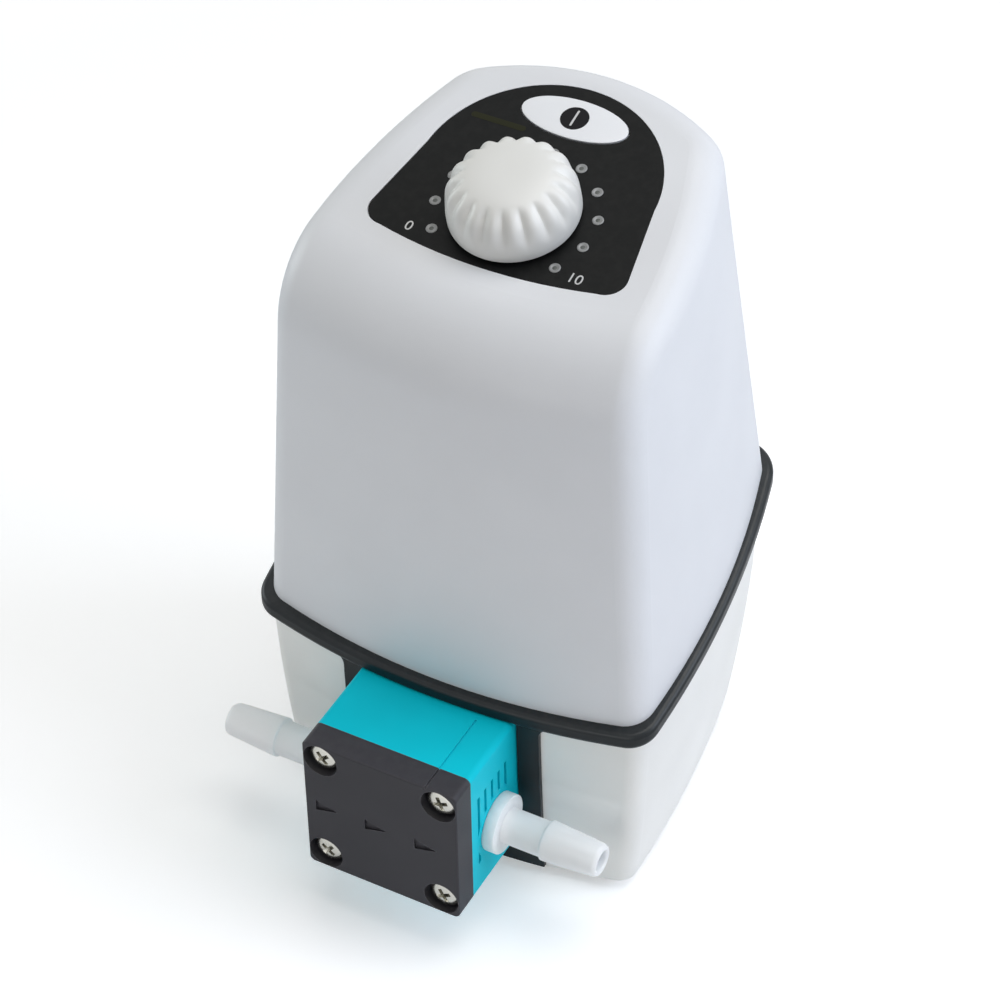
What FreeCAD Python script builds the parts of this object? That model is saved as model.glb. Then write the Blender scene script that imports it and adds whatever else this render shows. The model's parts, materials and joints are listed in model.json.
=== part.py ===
import FreeCAD, Part
import os
from math import cos, pi, radians, sin, sqrt, tan

# Diaphragm liquid pump for the bench, in millimetres.
# X to the right, front towards -Y, Z up. The origin is on the resting plane, under the middle of the
# object's width and depth.

V = FreeCAD.Vector
UP = V(0, 0, 1)
BACK = V(0, 1, 0)
RIGHT = V(1, 0, 0)

# Overall
overall_depth = 126.4         # from the pump head's face to the back of the seam band
foot_height = 2.5
head_axis_z = 34.7            # height of the pump head's middle
running_gap = 0.3             # between a moving piece and what stands round it
shaft_fit = 0.03              # radial clearance of a shaft in its bearing

# Housing, as seen from above at the seam between its two shells
housing_reach = 28.9          # from the pump head's face back to the housing's front wall
front_half_width = 50.8       # at the front corners
back_half_width = 44.8        # at the back corners
front_bow = 6.4               # how far the front wall bulges past its corners
side_bow = 4.0
back_bow = 10.4
wall = 2.6
back_corner_radius = 8.0
front_corner_radius = 5.0

# Seam band, a black rubber moulding between the shells
seam_front_z = 59.4
seam_angle = 14.0             # the seam climbs towards the back
band_height = 4.5
band_proud = 2.4
band_rounding = 1.4

# Upper shell
side_draft = 0.054            # lean of the side walls at their front ends, in mm for each mm of height
back_side_draft = 0.121       # and at their back ends
front_draft = 0.036
back_draft = 0.051
front_round_radius = 23.0     # the bend from the front wall into the control panel
crease_radius = 7.5           # the softer edge between the sides and the front and top
corner_foot_radius = 6.2      # of the upper shell's back corners at its hidden foot
corner_top_radius = 14.0      # and at the panel

# Lower shell, which curves inwards down to its base
front_side_tuck = 3.5         # how far each wall has come in at the base
back_side_tuck = 5.4
front_tuck = 2.3
back_tuck = 2.9
tuck_start = 8.7              # of the front's curve over the seam
base_bow_share = 0.5          # bulge of the sides at the base, as a share of that at the seam
shell_layers = 6
base_rounding = 1.8

# Control panel, a plane that rises to the back
knob_back_reach = 53.5        # from the back wall forward to the knob's axis
panel_z = 170.2               # height of the panel at the knob's axis
panel_tilt = 13.45

# Printed overlay on the panel
overlay_thickness = 0.5
overlay_gap = 0.15
overlay_half_width = 32.3
overlay_front = 16.9
overlay_front_bow = 3.0
overlay_corner_half = 27.5
overlay_corner_v = 8.0
overlay_shoulder_half = 28.8
overlay_shoulder_v = 12.0
overlay_back = 39.3

# Power key
key_v = 29.9
key_half_width = 13.4
key_half_depth = 5.7
key_rise = 1.2
key_travel = 0.5
key_flange = 1.3
key_flange_thickness = 1.2

# Speed knob
knob_clearance = 1.0
knob_skirt_radius = 15.4
knob_rim_radius = 13.3
knob_rim_height = 11.2
knob_height = 14.2
knob_bulge = 0.7              # of the knob's side
knob_wall = 2.4
knob_flutes = 18
flute_radius = 2.1            # at the knob's top
flute_low_radius = 1.0        # and level with the panel
flute_depth = 1.2
flute_fade = 0.36             # how fast a flute leaves the knob's side towards the skirt

# Speed potentiometer and the board under the panel
pot_width = 16.5
pot_height = 8.0
pot_bushing_radius = 3.5
pot_bushing_rise = 3.6
pot_nut_flats = 10.0
pot_nut_height = 2.0
knob_shaft_radius = 3.0
knob_shaft_rise = 10.5
board_width = 64.0
board_front_v = -17.0         # of the board's front edge, along the panel from the knob's axis
board_back_reach = 21.4       # forward from the back wall to the board's back edge
board_thickness = 1.6
post_radius = 3.2
post_half_spacing = 27.0
post_inset = 4.2              # of the posts, from the board's front and back edges
board_screw_diameter = 2.5
switch_width = 6.0
switch_height = 3.5
switch_plunger_radius = 1.75

# Pump head
head_size = 41.5
head_corner = 1.6
plate_thickness = 7.1
block_depth = 20.4
valve_plate_thickness = 6.0
head_gap = 0.3
frame_width = 5.6             # of the black frame beside the head
frame_proud = 1.0
frame_lift = 1.4              # from the housing's base up to the frame
frame_shoulder = 3.0          # radius where the frame's sides run into the seam band
screw_half_spacing = 15.9
screw_diameter = 4.0
screw_head_diameter = 8.0
screw_head_height = 2.4
screw_sink = 3.4              # depth of the counterbore in the front plate
screw_head_gap = 0.6
arrow_base = 3.4
arrow_length = 6.0
arrow_spacing = 13.5
arrow_shift = -1.4            # of the row of arrows, along X
arrow_depth = 0.6
mark_x = 12.6                 # the fine line across the head that helps to fit it the right way up
mark_width = 0.45
mark_depth = 0.35
slot_width = 1.1
slot_depth = 1.6
slot_pitch = 3.3
slot_count = 5
slot_margin = 9.5             # from the block's top and bottom to the slots' ends

# Hose connectors
port_back = 11.9              # from the front plate's back face to the ports' axis
port_drop = 4.3               # how far the ports lie below the head's middle
port_boss_radius = 9.2
connector_flange_radius = 7.6
connector_flange = 3.2
connector_neck_radius = 4.5
connector_neck_end = 13.7
connector_barb_radius = 5.05
connector_tip_radius = 4.0
connector_length = 28.5
left_neck_extra = 4.0         # the left connector's neck is longer
connector_bore_radius = 2.6
connector_spigot_radius = 4.4
connector_spigot = 8.0
seal_thickness = 1.2

# Valves and diaphragm
valve_offset = 9.5            # of each valve from the head's middle, along X
valve_radius = 5.5
valve_thickness = 1.2
valve_lift = 0.8
valve_port_radius = 2.2
chamber_radius = 13.0
chamber_depth = 2.2
diaphragm_radius = 17.5
diaphragm_thickness = 1.6
diaphragm_boss_radius = 8.0
diaphragm_boss = 1.6
stud_radius = 3.0
stud_length = 6.6
stud_bedding = 1.4

# Crank drive
crank_reach = 66.5            # from the pump head's face back to the crank's axis
crank_throw = 1.5
crankcase_radius = 28.0
crankcase_wall = 5.0
crankcase_floor = 3.5
crankcase_rise = 1.0          # of the crankcase's top over the head's
flange_thickness = 6.0
neck_half_width = 17.0
bearing_bore = 10.0
bearing_outer = 19.0
bearing_width = 5.0
eye_wall = 3.2
eye_height = 8.0
rod_width = 9.0
rod_head_radius = 7.5
rod_head_length = 9.0
rod_front_gap = 0.5
shaft_radius = 2.5
hub_radius = 7.5
hub_height = 5.0
counterweight_radius = 16.0
counterweight_height = 4.0

# Motor
motor_can_radius = 22.0
motor_length = 60.0
motor_wall = 2.2
motor_plate_thickness = 4.0
motor_screw_diameter = 3.0
motor_screw_head = 5.0
motor_screw_head_height = 1.6
motor_screw_grip = 8.0        # of the motor's screws in the crankcase
motor_screw_hole = 10.0
motor_can_rounding = 2.5
motor_nose_wall = 2.0
motor_nose_rise = 3.0
motor_bearing_radius = 8.0
motor_bearing_width = 5.0
magnet_thickness = 4.2
magnet_arc = 140.0
rotor_gap = 0.5
rotor_foot = 12.0             # from the motor's foot up to its core
rotor_slots = 5
rotor_slot_width = 3.0
commutator_radius = 7.0
commutator_length = 8.0

# Housing screws, feet and power inlet
boss_radius = 5.75
boss_bore_radius = 4.4
pilot_radius = 2.1
front_boss_inset = 12.7       # from the side walls at the front corners
front_boss_reach = 16.5       # back from the front wall
back_boss_inset = 8.4
back_boss_reach = 26.0        # forward from the back wall
boss_drop = 11.0              # from the seam down to where each pair of bosses meets
boss_ledge = 6.0
upper_boss_length = 22.0
housing_screw_length = 18.0
rib_thickness = 2.4
foot_radius = 6.5
foot_stem_radius = 2.5
foot_x = 26.0
front_foot_reach = 15.5       # back from the front wall
back_foot_reach = 18.5        # forward from the back wall
inlet_z = 66.0
inlet_recess_radius = 8.0
inlet_flange_radius = 7.0
inlet_flange = 1.6
inlet_thread_radius = 5.5
inlet_length = 11.0
inlet_pad = 5.0                # thickness of the housing under the inlet's flange
inlet_sink = 1.0
inlet_bore_radius = 2.9
inlet_bore_depth = 9.5
inlet_pin_radius = 1.05
inlet_pin_tail = 3.0
inlet_nut_flats = 14.0
inlet_nut_height = 2.6
vent_count = 5
vent_width = 2.6
vent_length = 10.0
vent_pitch = 5.5

# Places that follow from the sizes above
front_face_y = -overall_depth / 2
front_wall_y = front_face_y + housing_reach
back_wall_y = overall_depth / 2 - band_proud
base_z = foot_height
floor_z = base_z + wall
block_front_y = front_face_y + plate_thickness
block_back_y = block_front_y + block_depth
valve_plate_back_y = block_back_y + valve_plate_thickness
diaphragm_back_y = valve_plate_back_y + diaphragm_thickness
flange_back_y = diaphragm_back_y + flange_thickness
port_y = block_front_y + port_back
port_z = head_axis_z - port_drop
head_half = head_size / 2
frame_half = head_half + head_gap + frame_width
head_foot_z = head_axis_z - head_half - head_gap
frame_foot_z = base_z + frame_lift
frame_bow = front_bow * (frame_half / (front_half_width - front_side_tuck)) ** 2
frame_back_y = front_wall_y + front_tuck + wall + frame_bow + running_gap
knob_y = back_wall_y - knob_back_reach
crank_y = front_face_y + crank_reach
crankcase_top = head_axis_z + head_half + crankcase_rise
motor_base_z = crankcase_top + motor_plate_thickness
panel_under = -wall
board_back_v = (back_wall_y - board_back_reach - knob_y) / cos(radians(panel_tilt))
board_top = panel_under - pot_height
seam_slope = tan(radians(seam_angle))
far = 400.0                   # longer than the object, for cutting tools


def box(x0, x1, y0, y1, z0, z1):
    return Part.makeBox(x1 - x0, y1 - y0, z1 - z0, V(x0, y0, z0))


def rod(radius, length, at, direction=UP):
    return Part.makeCylinder(radius, length, at, direction)


def tube(outer, inner, length, at, direction=UP):
    return rod(outer, length, at, direction).cut(rod(inner, length, at, direction))


def hexagon(flats, height, at, direction=UP):
    corner = flats / sqrt(3)
    points = [V(corner * cos(pi * n / 3), corner * sin(pi * n / 3), 0) for n in range(7)]
    prism = Part.Face(Part.makePolygon(points)).extrude(UP * height)
    prism.Placement = FreeCAD.Placement(at, FreeCAD.Rotation(UP, direction))
    return prism


def turned(profile, at=V(0, 0, 0), direction=UP):
    """A revolved solid. The profile is a list of (radius, height) along the direction."""
    points = [V(radius, 0, height) for radius, height in profile]
    face = Part.Face(Part.makePolygon(points + points[:1]))
    solid = face.revolve(V(0, 0, 0), UP, 360)
    solid.Placement = FreeCAD.Placement(at, FreeCAD.Rotation(UP, direction))
    return solid


def bowed(a, b, bow):
    """An arc from a to b that bulges to the right of its direction."""
    along = b - a
    out = V(along.y, -along.x, 0).normalize()
    return Part.Arc(a, (a + b) * 0.5 + out * bow, b).toShape()


def edges_where(shape, test):
    return [edge for edge in shape.Edges if test(edge)]


def seam_z(y):
    return seam_front_z + seam_slope * (y - front_wall_y)


def seam_side(offset, above):
    """Everything above or below the seam plane, moved along its normal by offset."""
    block = box(-far, far, -far, far, 0 if above else -far, far if above else 0)
    block.rotate(V(0, 0, 0), RIGHT, seam_angle)
    normal = V(0, -sin(radians(seam_angle)), cos(radians(seam_angle)))
    block.translate(V(0, front_wall_y, seam_front_z) + normal * offset)
    return block


def plan(front_x, front_y, back_x, back_y, bow, z):
    """Four bulging sides seen from above. front_y and back_y are their middles; bow is that of the long sides."""
    corners = [V(-front_x, front_y + front_bow, z), V(front_x, front_y + front_bow, z),
               V(back_x, back_y - back_bow, z), V(-back_x, back_y - back_bow, z)]
    bows = [front_bow, bow, back_bow, bow]
    return Part.Wire([bowed(corners[n], corners[(n + 1) % 4], bows[n]) for n in range(4)])


def rounded(wire, front_radius, back_radius):
    """The same outline with its corners rounded."""
    plate = Part.Face(wire).extrude(UP)
    low = plate.BoundBox.ZMin
    backs = edges_where(plate, lambda e: e.BoundBox.ZLength > 0.9 and e.BoundBox.YMin > 0)
    plate = plate.makeFillet(back_radius, backs)
    fronts = edges_where(plate, lambda e: e.BoundBox.ZLength > 0.9 and e.BoundBox.YMax < front_wall_y / 2)
    plate = plate.makeFillet(front_radius, fronts)
    base = [face for face in plate.Faces if face.BoundBox.ZMax < low + 0.01]
    return base[0].OuterWire


def upper_plan(z, inset):
    front_x = front_half_width - side_draft * (z - seam_z(front_wall_y + front_bow)) - inset
    back_x = back_half_width - back_side_draft * (z - seam_z(back_wall_y - back_bow)) - inset
    front_y = front_wall_y + front_draft * (z - seam_front_z) + inset
    back_y = back_wall_y - back_draft * (z - seam_z(back_wall_y)) - inset
    return plan(front_x, front_y, back_x, back_y, side_bow, z)


def tuck(z, start_z):
    """The lower shell's inward curve at one height: 0 where the curve starts, 1 at the base."""
    return (max(0.0, start_z - z) / (start_z - base_z)) ** 2


def lower_plan(z, inset):
    front = tuck(z, seam_front_z + tuck_start)
    back = tuck(z, seam_z(back_wall_y))
    wire = plan(front_half_width - front_side_tuck * front - inset, front_wall_y + front_tuck * front + inset,
                back_half_width - back_side_tuck * back - inset, back_wall_y - back_tuck * back - inset,
                side_bow * (1 - front * (1 - base_bow_share)), z)
    return rounded(wire, front_corner_radius - inset, back_corner_radius - inset)


def upright(edge):
    return abs(edge.Vertexes[0].Z - edge.Vertexes[-1].Z) > foot_height * 4


def upper_body(inset):
    """The upper shell's outer form, or its hollow when inset by the wall, down past the seam."""
    low_z = seam_front_z - 2 * band_height
    high_z = panel_z + (back_wall_y - knob_y) * tan(radians(panel_tilt)) + wall
    body = Part.makeLoft([upper_plan(low_z, inset), upper_plan(high_z, inset)], True, True)
    back_edges = edges_where(body, lambda e: upright(e) and e.Vertexes[0].Y > 0)
    body = body.makeFillet(corner_foot_radius - inset, corner_top_radius - inset, back_edges)
    over_panel = box(-far, far, -far, far, 0, far)
    body = body.cut(on_panel(over_panel, -inset))
    front_edge = edges_where(body, lambda e: is_panel_edge(e, inset) and e.BoundBox.YMax < 0)
    body = body.makeFillet(front_round_radius - inset, front_edge)
    creases = edges_where(body, lambda e: upright(e) and e.Vertexes[0].Y < 0
                          and e.BoundBox.XLength < front_half_width / 2)
    return body.makeFillet(crease_radius - inset, creases)


def is_panel_edge(edge, inset):
    """True for an edge that lies in the panel's plane."""
    return all(abs(height_over_panel(vertex.Point) + inset) < 0.01 for vertex in edge.Vertexes)


def height_over_panel(point):
    tilt = radians(panel_tilt)
    return (point.z - panel_z) * cos(tilt) - (point.y - knob_y) * sin(tilt)


def on_panel(shape, rise=0.0):
    """Moves a shape drawn flat at the origin on to the tilted panel, at the knob's axis."""
    placed = shape.copy()
    placed.translate(UP * rise)
    placed.rotate(V(0, 0, 0), RIGHT, panel_tilt)
    placed.translate(V(0, knob_y, panel_z))
    return placed


def lower_body(inset, low_z):
    """The lower shell's outer form, or its hollow when inset by the wall, up past the seam."""
    step = (seam_z(overall_depth / 2) - low_z) / (shell_layers - 1)
    return Part.makeLoft([lower_plan(low_z + n * step, inset) for n in range(shell_layers)], True, False)


def boss_places():
    """Each housing screw's place: (x, y, height where the two bosses meet)."""
    places = []
    for x, y in ((front_half_width - front_boss_inset, front_wall_y + front_boss_reach),
                 (back_half_width - back_boss_inset, back_wall_y - back_boss_reach)):
        places += [(side * x, y, seam_z(y) - boss_drop) for side in (-1, 1)]
    return places


def post_places():
    return [(side * post_half_spacing, v) for v in (board_front_v + post_inset, board_back_v - post_inset)
            for side in (-1, 1)]


def foot_places():
    return [(side * foot_x, y) for y in (front_wall_y + front_foot_reach, back_wall_y - back_foot_reach)
            for side in (-1, 1)]


def key_outline(grow, low, high):
    """The key's oval, drawn flat."""
    ellipse = Part.Ellipse(V(0, 0, low), key_half_width + grow, key_half_depth + grow).toShape()
    return Part.Face(Part.Wire([ellipse])).extrude(UP * (high - low)).translated(V(0, key_v, 0))


def overlay_outline(shrink, low, high):
    corner_half = overlay_corner_half - shrink
    side_half = overlay_half_width - shrink
    shoulder_half = overlay_shoulder_half - shrink
    front = -overlay_front + shrink
    corner_front = front + overlay_front_bow
    corner_v = -overlay_corner_v
    corner_mid = V(corner_half + (side_half - corner_half) * 0.78,
                   corner_front + (corner_v - corner_front) * 0.3, low)
    left_mid = V(-corner_mid.x, corner_mid.y, low)
    right_start = V(corner_half, corner_front, low)
    right_end = V(side_half, corner_v, low)
    left_start = V(-corner_half, corner_front, low)
    left_end = V(-side_half, corner_v, low)
    shoulder = V(shoulder_half, overlay_shoulder_v, low)
    left_shoulder = V(-shoulder_half, overlay_shoulder_v, low)
    wire = Part.Wire([
        Part.Arc(left_start, V(0, front, low), right_start).toShape(),
        Part.Arc(right_start, corner_mid, right_end).toShape(),
        Part.LineSegment(right_end, shoulder).toShape(),
        Part.Arc(shoulder, V(0, overlay_back - shrink, low), left_shoulder).toShape(),
        Part.LineSegment(left_shoulder, left_end).toShape(),
        Part.Arc(left_end, left_mid, left_start).toShape(),
    ])
    return Part.Face(wire).extrude(UP * (high - low))


def upper_housing():
    outer = upper_body(0)
    shell = outer.cut(upper_body(wall)).common(seam_side(0, True))
    recess = overlay_outline(-overlay_gap, -overlay_thickness, wall)
    openings = [recess, key_outline(running_gap, -2 * wall, wall),
                rod(pot_bushing_radius + running_gap, 3 * wall, V(0, 0, -2 * wall))]
    shell = shell.cut([on_panel(opening) for opening in openings])
    posts = [on_panel(rod(post_radius, pot_height + wall / 2, V(u, v, board_top))) for u, v in post_places()]
    grown = []
    for x, y, top in boss_places():
        grown.append(rod(boss_radius, upper_boss_length, V(x, y, top)))
        rib = box(min(x, x * far), max(x, x * far), y - rib_thickness / 2, y + rib_thickness / 2,
                  top, top + upper_boss_length)
        grown.append(rib.common(seam_side(0, True)))
    shell = shell.fuse([piece.common(outer) for piece in grown] + posts).removeSplitter()
    pilots = [rod(pilot_radius, housing_screw_length, V(x, y, top - wall)) for x, y, top in boss_places()]
    post_pilots = [on_panel(rod(board_screw_diameter / 2 + shaft_fit, pot_height - wall, V(u, v, board_top)))
                   for u, v in post_places()]
    return shell.cut(pilots + post_pilots)


def head_opening(half, foot_z, back_y):
    """The way through the housing's front for the pump head."""
    return box(-half, half, -far, back_y, foot_z, head_axis_z + head_half + head_gap)


def frame_window(back_y):
    """What the black frame takes out of the lower shell: a square whose top corners flare into the seam."""
    shoulder_z = seam_front_z - band_height / cos(radians(seam_angle)) - frame_shoulder
    window = box(-frame_half, frame_half, -far, back_y, frame_foot_z, far)
    for side in (-1, 1):
        inner_x = side * frame_half
        outer_x = side * (frame_half + frame_shoulder)
        flare = box(min(inner_x, outer_x), max(inner_x, outer_x), -far, back_y, shoulder_z, far)
        window = window.fuse(flare.cut(rod(frame_shoulder, 2 * far, V(outer_x, -far, shoulder_z), BACK)))
    return window.removeSplitter()


def lower_housing():
    outer = lower_body(0, base_z)
    rim = edges_where(outer, lambda e: e.BoundBox.ZMax < base_z + 0.01)
    outer = outer.makeFillet(base_rounding, rim)
    hollow = lower_body(wall, floor_z)
    shell = outer.cut(hollow).common(seam_side(-band_height, False))
    grown = [rod(boss_radius, top - base_z, V(x, y, base_z)) for x, y, top in boss_places()]
    grown.append(rod(inlet_recess_radius + wall, far, V(0, inlet_seat_y() - inlet_pad, inlet_z), BACK))
    shell = shell.fuse([piece.common(outer) for piece in grown]).removeSplitter()
    cuts = []
    for x, y, top in boss_places():
        cuts.append(rod(boss_bore_radius, top - boss_ledge - base_z, V(x, y, base_z)))
        cuts.append(rod(pilot_radius + running_gap, top, V(x, y, base_z)))
    for x, y in foot_places():
        cuts.append(rod(foot_stem_radius, wall, V(x, y, base_z)))
    cuts.append(rod(inlet_recess_radius, far, V(0, inlet_seat_y(), inlet_z), BACK))
    cuts.append(rod(inlet_thread_radius + running_gap, far, V(0, crank_y, inlet_z), BACK))
    cuts.append(frame_window(frame_back_y))
    cuts.append(head_opening(head_half + head_gap, head_foot_z, valve_plate_back_y + head_gap))
    for n in range(vent_count):
        y = (n - (vent_count - 1) / 2) * vent_pitch
        for side in (-1, 1):
            x = side * (crankcase_radius + vent_length / 2 + wall)
            cuts.append(box(x - vent_length / 2, x + vent_length / 2, y - vent_width / 2, y + vent_width / 2,
                            base_z, floor_z))
    return shell.cut(cuts)


def inlet_seat_y():
    """The flat, sunk seat of the power inlet in the sloping back wall."""
    wall_here = back_wall_y - back_tuck * tuck(inlet_z, seam_z(back_wall_y))
    return wall_here - inlet_flange - inlet_sink


def seam_band():
    """The black rubber band between the shells, in one piece with the frame round the pump head."""
    seam_height = seam_z(0)
    ring = Part.Face(band_wire(band_proud)).extrude(UP * far).cut(
        Part.Face(band_wire(-wall)).extrude(UP * far))
    ring = ring.common(seam_side(0, False)).common(seam_side(-band_height, True))
    rims = edges_where(ring, lambda e: is_outer_rim(e))
    ring = ring.makeFillet(band_rounding, rims)
    frame = lower_body(-frame_proud, base_z / 2).cut(lower_body(wall, base_z / 4))
    frame = frame.common(frame_window(0)).common(box(-far, far, -far, 0, 0, seam_height))
    frame = frame.common(seam_side(-band_height / 2, False))
    moulding = ring.fuse(frame)
    return moulding.cut(head_opening(head_half + head_gap, head_foot_z, 0)).removeSplitter()


def band_wire(grow):
    """The seam seen from above, grown outwards."""
    wire = plan(front_half_width + grow, front_wall_y - grow, back_half_width + grow, back_wall_y + grow,
                side_bow, 0)
    return rounded(wire, front_corner_radius + grow, back_corner_radius + grow)


def is_outer_rim(edge):
    point = edge.valueAt((edge.FirstParameter + edge.LastParameter) / 2)
    drop = (point.z - seam_z(point.y)) * cos(radians(seam_angle))
    on_rim = min(abs(drop), abs(drop + band_height)) < 0.01
    return on_rim and Part.Face(band_wire(0)).distToShape(Part.Vertex(point.x, point.y, 0))[0] > 0.01


def panel_overlay():
    film = overlay_outline(0, -overlay_thickness, 0)
    film = film.cut(key_outline(running_gap, -wall, wall))
    return on_panel(film.cut(rod(pot_bushing_radius + running_gap, wall, V(0, 0, -overlay_thickness))))


def power_key():
    """An oval cap that slides in the panel, with a flange under it that keeps it in."""
    cap = key_outline(0, panel_under - running_gap - key_flange_thickness, key_rise)
    rim = edges_where(cap, lambda e: e.BoundBox.ZMin > key_rise - 0.01)
    cap = cap.makeFillet(key_rise / 2, rim)
    flange_low = panel_under - running_gap - key_flange_thickness
    flange = key_outline(key_flange, flange_low, flange_low + key_flange_thickness)
    return on_panel(cap.fuse(flange).removeSplitter())


def key_switch():
    """The push switch on the board, with its long plunger under the key."""
    half = switch_width / 2
    body = box(-half, half, key_v - half, key_v + half, board_top, board_top + switch_height)
    flange_low = panel_under - running_gap - key_flange_thickness
    plunger_top = flange_low - key_travel - running_gap / 4
    plunger = rod(switch_plunger_radius, plunger_top - board_top, V(0, key_v, board_top))
    return on_panel(body.fuse(plunger).removeSplitter())


def speed_knob():
    """A domed cap, hollow underneath, fluted round its rim."""
    rim = V(knob_rim_radius, 0, knob_rim_height)
    skirt = V(knob_skirt_radius, 0, knob_clearance)
    shoulder = V(knob_rim_radius - 1.6, 0, knob_rim_height + 1.5)
    crown = V(0, 0, knob_height)
    crown_drop = knob_height - shoulder.z
    crown_radius = (shoulder.x ** 2 + crown_drop ** 2) / (2 * crown_drop)
    crown_mid = V(shoulder.x / 2, 0, knob_height - crown_radius + sqrt(crown_radius ** 2 - shoulder.x ** 2 / 4))
    side_mid = V((knob_skirt_radius + knob_rim_radius) / 2 + knob_bulge, 0, (knob_rim_height + knob_clearance) / 2)
    section = Part.Wire([
        Part.LineSegment(V(0, 0, knob_clearance), skirt).toShape(),
        Part.Arc(skirt, side_mid, rim).toShape(),
        Part.Arc(rim, V(knob_rim_radius - 0.5, 0, knob_rim_height + 1.05), shoulder).toShape(),
        Part.Arc(shoulder, crown_mid, crown).toShape(),
        Part.LineSegment(crown, V(0, 0, knob_clearance)).toShape(),
    ])
    knob = Part.Face(section).revolve(V(0, 0, 0), UP, 360)
    flute_radius_at_rim = knob_rim_radius + flute_radius - flute_depth
    top = V(flute_radius_at_rim - flute_fade * (knob_height - knob_rim_height), 0, knob_height + 1)
    direction = V(flute_fade, 0, -1).normalize()
    taper = (flute_radius - flute_low_radius) / knob_height
    flute_length = 1.5 * knob_height
    flute = Part.makeCone(flute_radius, flute_radius - taper * flute_length, flute_length, top, direction)
    flutes = [flute.rotated(V(0, 0, 0), UP, 360 * n / knob_flutes) for n in range(knob_flutes)]
    knob = knob.cut(flutes)
    pocket_radius = knob_skirt_radius - knob_wall - flute_depth
    hollow = rod(pocket_radius, pot_bushing_rise + 1.0 - knob_clearance, V(0, 0, knob_clearance))
    socket = rod(knob_shaft_radius, knob_shaft_rise, V(0, 0, 0))
    return on_panel(knob.cut([hollow, socket]))


def knob_shaft():
    """The potentiometer's own shaft, which the knob is pressed on."""
    return on_panel(rod(knob_shaft_radius, knob_shaft_rise - board_top - 2.0, V(0, 0, board_top + 2.0)))


def potentiometer():
    half = pot_width / 2
    body = box(-half, half, -half, half, board_top, panel_under)
    upright_edges = edges_where(body, lambda e: e.BoundBox.ZLength > 1)
    body = body.makeFillet(2.0, upright_edges)
    bushing = rod(pot_bushing_radius, pot_bushing_rise - panel_under, V(0, 0, panel_under))
    bore = rod(knob_shaft_radius + shaft_fit, far, V(0, 0, board_top + 2.0))
    return on_panel(body.fuse(bushing).cut(bore))


def pot_nut():
    nut = hexagon(pot_nut_flats, pot_nut_height, V(0, 0, 0))
    return on_panel(nut.cut(rod(pot_bushing_radius, pot_nut_height, V(0, 0, 0))))


def control_board():
    low = board_top - board_thickness
    board = box(-board_width / 2, board_width / 2, board_front_v, board_back_v, low, board_top)
    holes = [rod(board_screw_diameter / 2 + 0.2, board_thickness, V(u, v, low)) for u, v in post_places()]
    return on_panel(board.cut(holes))


def pan_screw(diameter, head_diameter, head_height, length, at, direction):
    """A pan-head screw with a cross recess. The head's underside is at the given point."""
    head = rod(head_diameter / 2, head_height, V(0, 0, 0))
    crown = edges_where(head, lambda e: e.BoundBox.ZMin > head_height - 0.01)
    head = head.makeFillet(head_height * 0.55, crown)
    screw = head.fuse(rod(diameter / 2, length, V(0, 0, -length))).removeSplitter()
    arm = head_diameter * 0.29
    slot = diameter * 0.13
    depth = head_height * 0.6
    cross = box(-arm, arm, -slot, slot, head_height - depth, head_height).fuse(
        box(-slot, slot, -arm, arm, head_height - depth, head_height))
    screw = screw.cut(cross)
    screw.Placement = FreeCAD.Placement(at, FreeCAD.Rotation(UP, direction))
    return screw


def board_screws():
    low = board_top - board_thickness
    screws = [pan_screw(board_screw_diameter, 4.4, 1.6, board_thickness + pot_height / 2, V(u, v, low), -UP)
              for u, v in post_places()]
    return Part.makeCompound([on_panel(screw) for screw in screws])


def housing_screws():
    return Part.makeCompound([
        pan_screw(2 * pilot_radius - 0.2, 7.6, 2.8, housing_screw_length - 2 * shaft_fit - wall,
                  V(x, y, top - boss_ledge), -UP) for x, y, top in boss_places()])


def rubber_feet():
    feet = []
    for x, y in foot_places():
        foot = turned([(0, 0), (foot_radius - 0.8, 0), (foot_radius, 0.8), (foot_radius, foot_height),
                       (foot_stem_radius, foot_height), (foot_stem_radius, foot_height + wall),
                       (foot_stem_radius + 0.9, foot_height + wall), (foot_stem_radius - 0.8, floor_z + 1.6),
                       (0, floor_z + 1.6)], V(x, y, 0))
        feet.append(foot)
    return Part.makeCompound(feet)


def screw_places():
    return [(sx * screw_half_spacing, head_axis_z + sz * screw_half_spacing) for sz in (-1, 1) for sx in (-1, 1)]


def head_slab(front_y, back_y):
    """One layer of the square pump head, with softened corners."""
    slab = box(-head_half, head_half, front_y, back_y, head_axis_z - head_half, head_axis_z + head_half)
    corners = edges_where(slab, lambda e: e.BoundBox.YLength > 0.9 * (back_y - front_y))
    return slab.makeFillet(head_corner, corners)


def screw_holes(radius, front_y, length):
    return [rod(radius, length, V(x, front_y, z), BACK) for x, z in screw_places()]


def front_plate():
    """The dark pressure plate, with sunk screw heads and three recessed flow arrows."""
    plate = head_slab(front_face_y, block_front_y)
    rim = edges_where(plate, lambda e: e.BoundBox.YMax < front_face_y + 0.01)
    plate = plate.makeFillet(0.5, rim)
    cuts = screw_holes(screw_head_diameter / 2 + screw_head_gap, front_face_y - 1, screw_sink + 1)
    cuts += screw_holes(screw_diameter / 2 + 0.2, front_face_y, plate_thickness)
    for n in (-1, 0, 1):
        x = n * arrow_spacing - arrow_length / 2 + arrow_shift
        points = [V(x, 0, -arrow_base / 2), V(x + arrow_length, 0, 0), V(x, 0, arrow_base / 2),
                  V(x, 0, -arrow_base / 2)]
        arrow = Part.Face(Part.makePolygon(points)).extrude(BACK * (arrow_depth + 1))
        cuts.append(arrow.translated(V(0, front_face_y - 1, head_axis_z)))
    cuts.append(top_mark(front_face_y, block_front_y))
    return plate.cut(cuts)


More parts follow.
